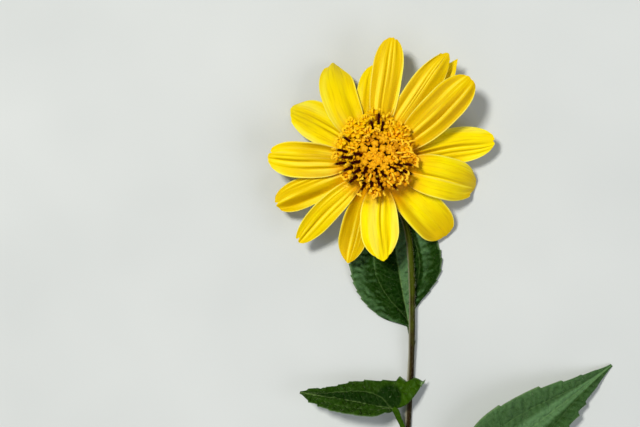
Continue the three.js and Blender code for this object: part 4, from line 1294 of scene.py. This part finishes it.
def add_bud(piece, index, place, sizes):
    """A floret about to open: a short neck, a ribbed bud and lobes whose tips still meet."""
    rng = np.random.default_rng(700 + index)
    length = place["length"] * rng.uniform(0.9, 1.02)
    bend = BUD_BEND * place["share"]
    around = turns(COROLLA_SIDES) + rng.uniform(0, 6)
    rings = []
    for z, radius in BUD_PROFILE:
        ribs = 1 + BUD_RIBS * ramp(z, 0.45, 0.8) * (np.abs(np.cos(2.5 * around)) * 2 - 1.2)
        rings.append(round_points(BUD_RADIUS * radius * ribs, around, z * length))
    # Darker towards the bud's foot, partly painted shade deep among the florets
    high = np.array([z for z, _ in BUD_PROFILE])[:, None] ** 2
    add_rings(piece, floret_to_head(np.stack(rings), place, bend), 0, along=high)
    if index % 3:
        lobe = CROWN_LOBE * sizes.lobe_length
        spread = math.radians(rng.uniform(30, 90))
        rings = corolla_rings(length * CROWN_HEIGHT, CROWN_RADIUS, lobe, spread, rng.uniform(0, 6))
        high = np.clip(rings[..., 2] / length, 0, 1) ** 2
        add_rings(piece, floret_to_head(rings, place, bend), 0, along=high)


def bract_piece(ring, angle, rng):
    """A bract: a pointed scale with a groove along its middle and hairs along its edges."""
    radius, height = ring["foot"]
    length = ring["length"]
    lift, dip = math.radians(ring["lift"]), math.radians(ring["dip"])
    foot = head_point(radius, angle, height)
    tip = head_point(radius + length * BRACT_REACH, angle, height + length * BRACT_RISE)
    tip = tip + UP * length * math.sin(dip) * BRACT_DROOP
    u = np.linspace(0, 1, BRACT_STEPS + 1)
    v = np.linspace(-1, 1, BRACT_STRIPS + 1)
    points, along = arched_spine(foot, tip, lift, dip, 0, u)
    half = ring["width"] / 2 * smooth_value(BRACT_OUTLINE, u)
    half[-1] = BRACT_TIP_WIDTH * ring["width"]
    grid = blade_grid(points[:, None], along[:, None], v, half[:, None], 0.0, BRACT_FOLD)
    groove = -GROOVE_DEPTH * hump(v, 0, GROOVE_WIDTH) * ramp(1 - u, 0.0, 0.3)[:, None]
    grid = grid + surface_normals(grid) * groove[..., None]
    thickness = BRACT_THICKNESS * (1 - EDGE_THINNING * np.abs(v) ** 4) * np.ones((len(u), 1))
    uv = plane_points(v * half.max(), u[:, None] * length)
    piece = Piece()
    add_sheet(piece, grid, thickness, 0, uv, along=u[:, None])
    for column in (0, -1):
        rows = rng.uniform(1, BRACT_STEPS - 1, BRACT_HAIRS)
        low = rows.astype(int)
        roots = mix(grid[low, column], grid[low + 1, column], (rows - low)[:, None])
        outward = unit(grid[low, column] - grid[low, BRACT_STRIPS // 2])
        lean = outward + 0.9 * along[low] + rng.normal(0, 0.2, (BRACT_HAIRS, 3))
        hairs = rng.uniform(*BRACT_HAIR_LENGTH, BRACT_HAIRS)
        add_hairs(piece, roots, lean, hairs, BRACT_HAIR_RADIUS, 1)
    return piece


def receptacle_piece():
    """The receptacle: a ribbed cup over the end of the stem, and the dome that carries the florets."""
    cup = [(radius, -depth * RECEPTACLE_DEPTH) for radius, depth in CUP_PROFILE]
    dome = [(RECEPTACLE_RADIUS * s, dome_height(RECEPTACLE_RADIUS * s)) for s in DOME_RINGS]
    around = turns(CUP_SIDES)
    ribs = 1 + CUP_RIB_HEIGHT * np.cos(CUP_RIB_COUNT * around)
    rings = [round_points(radius * ribs, around, height) for radius, height in cup + dome[:1]]
    rings += [round_points(radius, around, height) for radius, height in dome[1:]]
    # The dome and the top rings of the cup get a painted shade
    painted_shade_rings = np.arange(len(rings)) >= len(cup) - SHADED_CUP_RINGS
    piece = Piece()
    add_rings(piece, np.stack(rings) @ HEAD_TURN.T + HEAD_CENTRE, mark=painted_shade_rings[:, None] * 1.0)
    return piece


def stem_piece(sizes):
    """The stem: a ribbed, slightly knotty tube with stiff hairs and a cut lower face."""
    rng = np.random.default_rng(7)
    u = np.linspace(0, 1, STEM_STEPS)
    path = curve_points(STEM_LINE, u)
    around = turns(STEM_SIDES)
    ribs = 1 + 0.035 * np.cos(8 * around) + 0.02 * np.cos(3 * around + 1)
    growth = STEM_GROWTH + 0.03 * np.sin(u * 23) + 0.03 * np.sin(u * 57 + 1)
    growth = growth + STEM_SWELLING * ramp(u, 0.96, 1.0)
    rings = tube_rings(path, STEM_RADIUS * growth[:, None] * ribs, STEM_SIDES, np.array([1.0, 0.0, 0.0]))
    cut = [path[0] + (rings[0] - path[0]) * share for share, _ in CUT_FACE]
    below = [0] * len(cut)
    length = run_lengths(path)
    share = np.concatenate([below, length / length[-1]])
    uv = plane_points(around * STEM_RADIUS, np.concatenate([below, length])[:, None])
    # Painted light and shade round the stem: a painted highlight on the sun side, stronger lower down,
    # and a painted shade on the far side
    edge = np.sin(around) * (1.4 - 0.4 * ramp(share, *STEM_CHANGE))[:, None]
    mark = np.zeros((len(share), 1))
    mark[: len(cut), 0] = [pith for _, pith in CUT_FACE]
    piece = Piece()
    add_rings(piece, np.concatenate([cut, rings]), 0, uv, along=share[:, None], edge=edge, mark=mark)

    # Hairs that would reach into the floor are left out, and those beside it are short
    rows = rng.integers(4, STEM_STEPS - 14, STEM_HAIRS)
    roots = rings[rows, rng.integers(0, STEM_SIDES, STEM_HAIRS)]
    along = unit(np.gradient(path, axis=0))[rows]
    lean = unit(roots - path[rows]) + 0.35 * along + rng.normal(0, 0.25, (STEM_HAIRS, 3))
    shaggy = 1 - ramp(rows / STEM_STEPS, *STEM_CHANGE)
    clear = roots[:, 2] + lean[:, 2] * 0.4 > HAIRS_CLEAR
    keep = clear & (rng.random(STEM_HAIRS) < 0.35 + 0.65 * shaggy)
    hair = rng.uniform(0.45, 1.0, STEM_HAIRS) * sizes.hair_length * (0.7 + 0.3 * shaggy)
    hair = np.where(roots[:, 2] < HAIRS_SHORT_BELOW, 0.35 * hair, hair)
    add_hairs(piece, roots[keep], lean[keep], hair[keep], STEM_HAIR_RADIUS, 1)
    return piece


def tooth_edge(teeth, b):
    """How far the edge stands out along the blade: each tooth rises slowly and ends steeply."""
    places = np.array([0.0, *(place for place, _ in teeth), 1.0])
    sizes = np.array([0.0, *(size for _, size in teeth), 0.0])
    after = np.clip(np.searchsorted(places, b, side="left"), 1, len(places) - 1)
    rise = (b - places[after - 1]) / (places[after] - places[after - 1])
    return sizes[after] * (np.clip(rise, 0, 1) ** 1.5 - TOOTH_DIP)


def blade_half(widths, b):
    """Half width of a blade without its teeth, at the shares b of its length."""
    return np.maximum(smooth_value(widths, b), BLADE_END)


def vein_lines(leaf, length):
    """Veins in the flattened blade, each (weight, [(x, y), ...]), with x along and y to the left."""
    rng = np.random.default_rng(3)
    b = np.linspace(0, 1, 41)
    run = np.linspace(0, 1, 10)
    veins = [(1.0, plane_points(b * length, 0 * b))]
    for sign, widths in ((1, leaf["left"]), (-1, leaf["right"])):
        arch = sign * smooth_value(SIDE_VEIN_ARCH, b) * blade_half(widths, b)
        veins.append((SIDE_VEIN_WEIGHT, plane_points(b * length, arch)))
        for start in np.arange(*SMALL_VEINS):
            start = start + rng.uniform(-0.03, 0.03)
            reach = blade_half(widths, np.array([min(1.0, start + 0.1)]))[0] * 0.95
            forward = run ** rng.uniform(1.0, 1.4) * reach * rng.uniform(0.6, 0.95)
            line = plane_points(start * length + forward, sign * reach * run)
            veins.append((rng.uniform(*SMALL_VEIN_WEIGHT), line))
    return veins


def vein_distance(px, py, line):
    """Distance from each point of the flattened blade to a polyline."""
    best = np.full(px.shape, 1e9)
    for (x0, y0), (x1, y1) in zip(line[:-1], line[1:]):
        dx, dy = x1 - x0, y1 - y0
        t = np.clip(((px - x0) * dx + (py - y0) * dy) / max(dx * dx + dy * dy, 1e-9), 0, 1)
        best = np.minimum(best, np.hypot(px - x0 - t * dx, py - y0 - t * dy))
    return best


def vein_marks(leaf, length, x, y):
    """For each point of the flattened blade: distance to a vein, depth of groove and pale line."""
    nearest = np.full(x.shape, 1e9)
    grooves, lines = np.zeros(x.shape), np.zeros(x.shape)
    for weight, line in vein_lines(leaf, length):
        away = vein_distance(x, y, line)
        nearest = np.minimum(nearest, away)
        grooves = np.maximum(grooves, weight * hump(away, 0, 0.25 + 0.35 * weight))
        lines = np.maximum(lines, weight**1.5 * hump(away, 0, 0.08 + 0.13 * weight))
    return nearest, grooves, lines


def blisters(x, y, rng):
    """The small bulges of a flattened blade: 0 along the lines between them, near 1 on top."""
    spacing = BLISTER_SPACING
    across = np.arange(y.min() - spacing, y.max() + spacing, spacing)
    along = np.arange(x.min() - spacing, x.max() + spacing, 0.8 * spacing)
    seeds = np.stack(np.meshgrid(along, across), -1).reshape(-1, 2)
    seeds = seeds + rng.uniform(-0.45, 0.45, seeds.shape) * spacing
    away = np.hypot(x.reshape(-1, 1) - seeds[:, 0], y.reshape(-1, 1) - seeds[:, 1])
    away = np.partition(away, 1, axis=1)
    between = (away[:, 1] - away[:, 0]) / (0.5 * spacing)
    return (1 - np.exp(-(between**2))).reshape(x.shape)


def wrinkles(x, y, rng):
    """The short folds across a flattened blade, like rungs between its veins, from -1 to 1."""
    phase = rng.uniform(0, 6, 5)
    bend = 1.1 * np.sin(1.1 * y + phase[0]) + 1.4 * np.sin(0.43 * x + phase[1])
    bend = bend + 0.8 * np.sin(1.3 * x + 0.9 * y + phase[4])
    strength = 0.5 + 0.3 * np.sin(0.9 * y + 0.6 * x + phase[2])
    strength = strength + 0.2 * np.sin(2.1 * y - 0.4 * x + phase[3])
    return strength * np.sin(2 * math.pi * (x - 0.5 * np.abs(y)) / WRINKLE_SPACING + bend)


def leaf_stalk(piece, leaf, length, seed, sizes):
    """Stalk and midrib in one grooved, tapering rod, which runs on along the blade's underside."""
    line = [leaf["joint"], *leaf["line"]]
    spans = len(line) - 1
    u = np.linspace(0, STALK_END, STALK_STEPS)
    path = curve_points(line, u)
    t = (u * spans - 1) / (spans - 1)  # share of the leaf's own line, below 0 between stem and foot
    way = unit(np.gradient(path, axis=0))
    level = unit(np.cross(UP, way))
    on_blade = np.clip((t - leaf["stalk"]) / (1 - leaf["stalk"]), 0, 1)
    opened = np.minimum(1, on_blade / BLADE_OPEN_AT)
    roll = (np.radians(mix(*leaf["roll"], on_blade)) * opened)[:, None]
    over = np.cross(way, level)
    side = level * np.cos(roll) + over * np.sin(roll)
    normal = over * np.cos(roll) - level * np.sin(roll)
    base = 1 + STALK_FLARE * (1 - ramp(t, -0.04, 0.05))
    base = base + leaf["wing"] * hump(t, leaf["stalk"] - 0.04, 0.08)
    half_width = (base * mix(*STALK_HALF_WIDTH, on_blade**0.55))[:, None]
    half_depth = mix(*STALK_HALF_DEPTH, on_blade**0.6)[:, None]
    sink = (sizes.vein_depth + 0.9 * half_depth) * ramp(on_blade, 0.0, 0.07)[:, None]
    around = turns(STALK_SIDES)
    groove = STALK_GROOVE_DEPTH * hump(np.cos(around), 0, STALK_GROOVE_WIDTH) * (np.sin(around) > 0)
    x = half_width * np.cos(around)
    y = half_depth * (np.sin(around) - groove) - sink
    rings = path[:, None] + side[:, None] * x[..., None] + normal[:, None] * y[..., None]
    rings[..., 2] = np.maximum(rings[..., 2], STALK_LOWEST)
    uv = plane_points(np.linspace(0, 4, STALK_SIDES) + LEAF_SHIFT * seed, (t * length)[:, None])
    add_rings(piece, rings[:, ::-1], 0, uv, tint=mix(0.5, 1.0, leaf["young"]))


def smooth_blade(leaf, b, v):
    """A blade without relief, at the shares b along it and v across it.

    Gives its points, the points and directions of its middle line, its half width without teeth
    and how far its lobes sweep each point back."""
    points = curve_points(leaf["line"], leaf["stalk"] + (1 - leaf["stalk"]) * b)
    along = unit(np.gradient(points, axis=0))
    left = v > 0
    half = np.where(left, blade_half(leaf["left"], b)[:, None], blade_half(leaf["right"], b)[:, None])
    teeth_left = tooth_edge(leaf["teeth_left"], b)[:, None]
    teeth_right = tooth_edge(leaf["teeth_right"], b)[:, None]
    width = half + np.where(left, teeth_left, teeth_right) * np.abs(v) ** 8 * np.minimum(1, half / 3)
    opened = np.minimum(1, b / BLADE_OPEN_AT)
    roll = np.radians(mix(*leaf["roll"], b)) * opened
    fold = np.radians(mix(*leaf["fold"], b)) * opened
    grid = blade_grid(points[:, None], along[:, None], v, width, roll[:, None], fold[:, None])
    swept = (np.maximum(0, 1 - b / LOBE_SHARE) * opened)[:, None]
    back = np.where(left, *leaf["lobe"]) * np.abs(v) * swept
    return grid - along[:, None] * back[..., None], points, along, half, back


def leaf_shades(leaf, b, v, x, y, bumps, folds):
    """Tint and painted light and shade of a blade. Past its foot a lobed blade turns up out of a round
    hollow, which gets a painted shade, and the lobe gets a painted glow."""
    from_hollow = np.hypot(x - HOLLOW_CENTRE[0], y - HOLLOW_CENTRE[1]) / HOLLOW_RADIUS
    lobe_share = ramp(from_hollow, 0.93, 1.15) * ramp(x, 3.0, -1.0) * ramp(y, 0.8, -0.4)
    # The lobe's extra yellow is a painted glow where light shines through it; the rest is the leaf's own
    # yellow green
    tint = leaf["young"] * np.minimum(1, 0.45 + 0.4 * ramp(np.abs(v), 0.8, 1.0) + lobe_share)
    # Painted light and shade across the blade, by where it lay in light or in shade
    bloom = np.interp(v, *zip(*leaf["bloom"])) * (1 - lobe_share)
    # Painted shade in the hollow at the foot of a lobed blade
    bloom = bloom - leaf["young"] * ramp(from_hollow, 1.05, 0.6)
    # Painted light on the bulges' tops, painted shade in the lines between them and in the short folds
    bloom = bloom + leaf["bumps"] * (0.3 * (bumps - 0.6) + 0.4 * folds)
    # Painted light on the part of the blade away from its base
    return tint, bloom + leaf["pale"] * ramp(b, 0.3, 0.75)[:, None]


def leaf_piece(leaf, seed, sizes):
    """A leaf: quilted blade with sunken veins and toothed edge, its stalk and its raised midrib."""
    rng = np.random.default_rng(seed)
    b = np.linspace(0, 1, LEAF_STEPS + 1) ** 1.15
    v = np.linspace(-1, 1, LEAF_STRIPS + 1)
    v = np.sign(v) * np.abs(v) ** 0.9
    grid, points, along, half, back = smooth_blade(leaf, b, v)
    run = run_lengths(points)
    x, y = run[:, None] - back, half * v
    nearest, grooves, lines = vein_marks(leaf, run[-1], x, y)
    bumps, folds = blisters(x, y, rng), wrinkles(x, y, rng)
    opening = ramp(half, BLADE_END, 4.0)
    inside = opening * ramp(1 - np.abs(v), 0.0, 0.12)
    relief = leaf["quilt"] * sizes.quilting * (1 - hump(nearest, 0, QUILT_WIDTH)) * inside
    relief += leaf["quilt"] * (sizes.blister * bumps + sizes.wrinkle * folds) * inside
    relief -= sizes.vein_depth * grooves * opening
    phase, _ = rng.uniform(0, 6, 2)
    swing = (run / EDGE_WAVE_RUN + 0.8 * np.sin(run / 5.0))[:, None] + 1.5 * np.sign(v)
    relief += EDGE_WAVE_HEIGHT * np.abs(v) ** 3 * np.sin(swing + phase) * opening
    grid = grid + surface_normals(grid) * relief[..., None]
    thickness = BLADE_THICKNESS * (1 - EDGE_THINNING * np.abs(v) ** 8) * np.ones_like(relief)
    tint, bloom = leaf_shades(leaf, b, v, x, y, bumps, folds)
    piece = Piece()
    add_sheet(
        piece, grid, thickness, 0, plane_points(y + LEAF_SHIFT * seed, x),
        edge=np.abs(v), mark=leaf["veins"] * lines, tint=tint, bloom=bloom,
    )
    leaf_stalk(piece, leaf, run[-1], seed, sizes)

    rows = rng.integers(2, LEAF_STEPS - 1, LEAF_HAIRS)
    columns = rng.integers(2, LEAF_STRIPS - 2, LEAF_HAIRS)
    normals = surface_normals(grid)[rows, columns]
    roots = grid[rows, columns] + normals * 0.1
    lean = normals + 0.8 * along[rows] + rng.normal(0, 0.3, (LEAF_HAIRS, 3))
    add_hairs(piece, roots, lean, rng.uniform(*LEAF_HAIR_LENGTH, LEAF_HAIRS), LEAF_HAIR_RADIUS, 1)
    return piece


# Operators


class PieceOperator:
    """What the operators share: they need the flower's settings on the scene."""

    bl_options = {"REGISTER", "UNDO"}

    @classmethod
    def poll(cls, context):
        return hasattr(context.scene, "flower_colours")


class FLOWER_OT_stage(PieceOperator, bpy.types.Operator):
    """Sets the camera, the soft lights and the pale floor"""

    bl_idname = "flower.stage"
    bl_label = "Stage"

    def execute(self, context):
        scene = context.scene
        look, _ = settings(context)
        camera_data = bpy.data.cameras.new("camera")
        camera_data.lens = CAMERA_LENS
        camera_data.sensor_width = CAMERA_SENSOR
        camera = bpy.data.objects.new("camera", camera_data)
        camera.location = (np.array([*CAMERA_OVER, CAMERA_HEIGHT]) + FRAME_SHIFT) * MM
        scene.collection.objects.link(camera)
        scene.camera = camera

        corners = [(x * FLOOR_HALF, y * FLOOR_HALF, 0) for x, y in ((-1, -1), (1, -1), (1, 1), (-1, 1))]
        mesh = bpy.data.meshes.new("floor")
        mesh.from_pydata(corners, [], [(0, 1, 2, 3)])
        mesh.materials.append(floor_material(look))
        floor = bpy.data.objects.new("floor", mesh)
        scene.collection.objects.link(floor)

        for name, place, width, power, code in LIGHTS:
            data = bpy.data.lights.new(name, "AREA")
            data.shape = "SQUARE"
            data.size = width
            data.energy = power
            data.color = linear(code)
            light = bpy.data.objects.new(name, data)
            light.location = place
            light.rotation_mode = "QUATERNION"
            light.rotation_quaternion = (-Vector(place)).to_track_quat("-Z", "Y")
            scene.collection.objects.link(light)

        world = bpy.data.worlds.new("studio")
        world.use_nodes = True
        background = world.node_tree.nodes["Background"]
        background.inputs["Color"].default_value = rgba(look.sky)
        background.inputs["Strength"].default_value = SKY_STRENGTH
        scene.world = world
        scene.view_settings.view_transform = "Standard"
        return {"FINISHED"}


class FLOWER_OT_petals(PieceOperator, bpy.types.Operator):
    """Makes the ray florets, one piece each"""

    bl_idname = "flower.petals"
    bl_label = "Petals"

    def execute(self, context):
        look, sizes = settings(context)
        material = petal_material(look)
        for index, values in enumerate(RAYS, 1):
            ray = dict(zip(RAY_KEYS, values))
            piece = petal_piece(ray, index, sizes)
            piece.build(f"petal_{index:02d}", [material], "petal", [f"ray_{index:02d}"])
        return {"FINISHED"}


class FLOWER_OT_disc(PieceOperator, bpy.types.Operator):
    """Makes the open disc florets, one piece for each spiral row, and the buds inside them"""

    bl_idname = "flower.disc"
    bl_label = "Disc florets"

    def execute(self, context):
        look, sizes = settings(context)
        fresh = look.corolla_fresh
        corolla = floret_material("disc_corolla_tissue", 0.42, look.corolla_foot_and_shade, look.corolla, fresh)
        stigma = floret_material("stigma_papillae", 0.6, look.corolla, look.stigma, fresh)
        bud = floret_material("closed_floret_tissue", 0.45, look.bud_foot_and_shade, look.bud, fresh)
        materials = [corolla, anther_material(look), stigma, bud]
        for row in range(FLORET_ROWS):
            piece = Piece()
            for index in range(BUD_COUNT + row, FLORET_COUNT, FLORET_ROWS):
                add_open_floret(piece, index, sizes)
                add_chaff(piece, spiral_place(index), 3)
            name = f"floret_row_{row + 1:02d}"
            piece.build(f"{name}_open", materials, "floret", [name])
        piece = Piece()
        places = [spiral_place(index) for index in range(BUD_COUNT)] + [floret_place(*MIDDLE_BUD)]
        for index, place in enumerate(places):
            add_bud(piece, index, place, sizes)
            add_chaff(piece, place, 0)
        piece.build("floret_buds", [bud], "bud", ["disc_buds"])
        return {"FINISHED"}


class FLOWER_OT_bracts(PieceOperator, bpy.types.Operator):
    """Makes the three rings of bracts and the receptacle that carries them"""

    bl_idname = "flower.bracts"
    bl_label = "Bracts and receptacle"

    def execute(self, context):
        look, _ = settings(context)
        tissue, hairs = bract_material(look), hair_material(look)
        for ring in BRACT_RINGS:
            for i in range(BRACTS_PER_RING):
                rng = np.random.default_rng(ring["first"] * 10 + i)
                angle = math.radians(ring["first"] + 360 * i / BRACTS_PER_RING)
                name = f"bract_{ring['name']}_{i + 1}"
                bract_piece(ring, angle, rng).build(f"{name}_scale", [tissue, hairs], "bract", [name])
        flesh = receptacle_material(look)
        receptacle_piece().build("receptacle_cushion", [flesh], "receptacle", ["receptacle"])
        return {"FINISHED"}


class FLOWER_OT_stem(PieceOperator, bpy.types.Operator):
    """Makes the hairy stem with its cut face"""

    bl_idname = "flower.stem"
    bl_label = "Stem"

    def execute(self, context):
        look, sizes = settings(context)
        materials = [stem_material(look), hair_material(look)]
        stem_piece(sizes).build("stem_skin", materials, "stem", ["stem"])
        return {"FINISHED"}


class FLOWER_OT_leaves(PieceOperator, bpy.types.Operator):
    """Makes the three leaves with their stalks"""

    bl_idname = "flower.leaves"
    bl_label = "Leaves"

    def execute(self, context):
        look, sizes = settings(context)
        materials = [leaf_material(look), hair_material(look)]
        for seed, (name, leaf) in enumerate(LEAVES.items(), 1):
            leaf_piece(leaf, seed, sizes).build(f"{name}_blade", materials, "leaf", [name])
        return {"FINISHED"}


class FLOWER_PT_panel(bpy.types.Panel):
    """Lists the flower's settings and what makes its pieces"""

    bl_label = "Flower"
    bl_idname = "FLOWER_PT_panel"
    bl_space_type = "VIEW_3D"
    bl_region_type = "UI"
    bl_category = "Flower"

    def draw(self, context):
        for group in (context.scene.flower_sizes, context.scene.flower_colours):
            for name in group.__annotations__:
                self.layout.prop(group, name)
        for operator in OPERATORS:
            self.layout.operator(operator.bl_idname)


OPERATORS = (
    FLOWER_OT_stage,
    FLOWER_OT_petals,
    FLOWER_OT_disc,
    FLOWER_OT_bracts,
    FLOWER_OT_stem,
    FLOWER_OT_leaves,
)
CLASSES = (FlowerColours, FlowerSizes, *OPERATORS, FLOWER_PT_panel)


def register():
    for cls in CLASSES:
        bpy.utils.register_class(cls)
    bpy.types.Scene.flower_colours = bpy.props.PointerProperty(type=FlowerColours)
    bpy.types.Scene.flower_sizes = bpy.props.PointerProperty(type=FlowerSizes)


def unregister():
    del bpy.types.Scene.flower_sizes
    del bpy.types.Scene.flower_colours
    for cls in reversed(CLASSES):
        bpy.utils.unregister_class(cls)


def main():
    register()
    bpy.ops.flower.stage()
    bpy.ops.flower.petals()
    bpy.ops.flower.disc()
    bpy.ops.flower.bracts()
    bpy.ops.flower.stem()
    bpy.ops.flower.leaves()


if __name__ == "__main__":
    main()
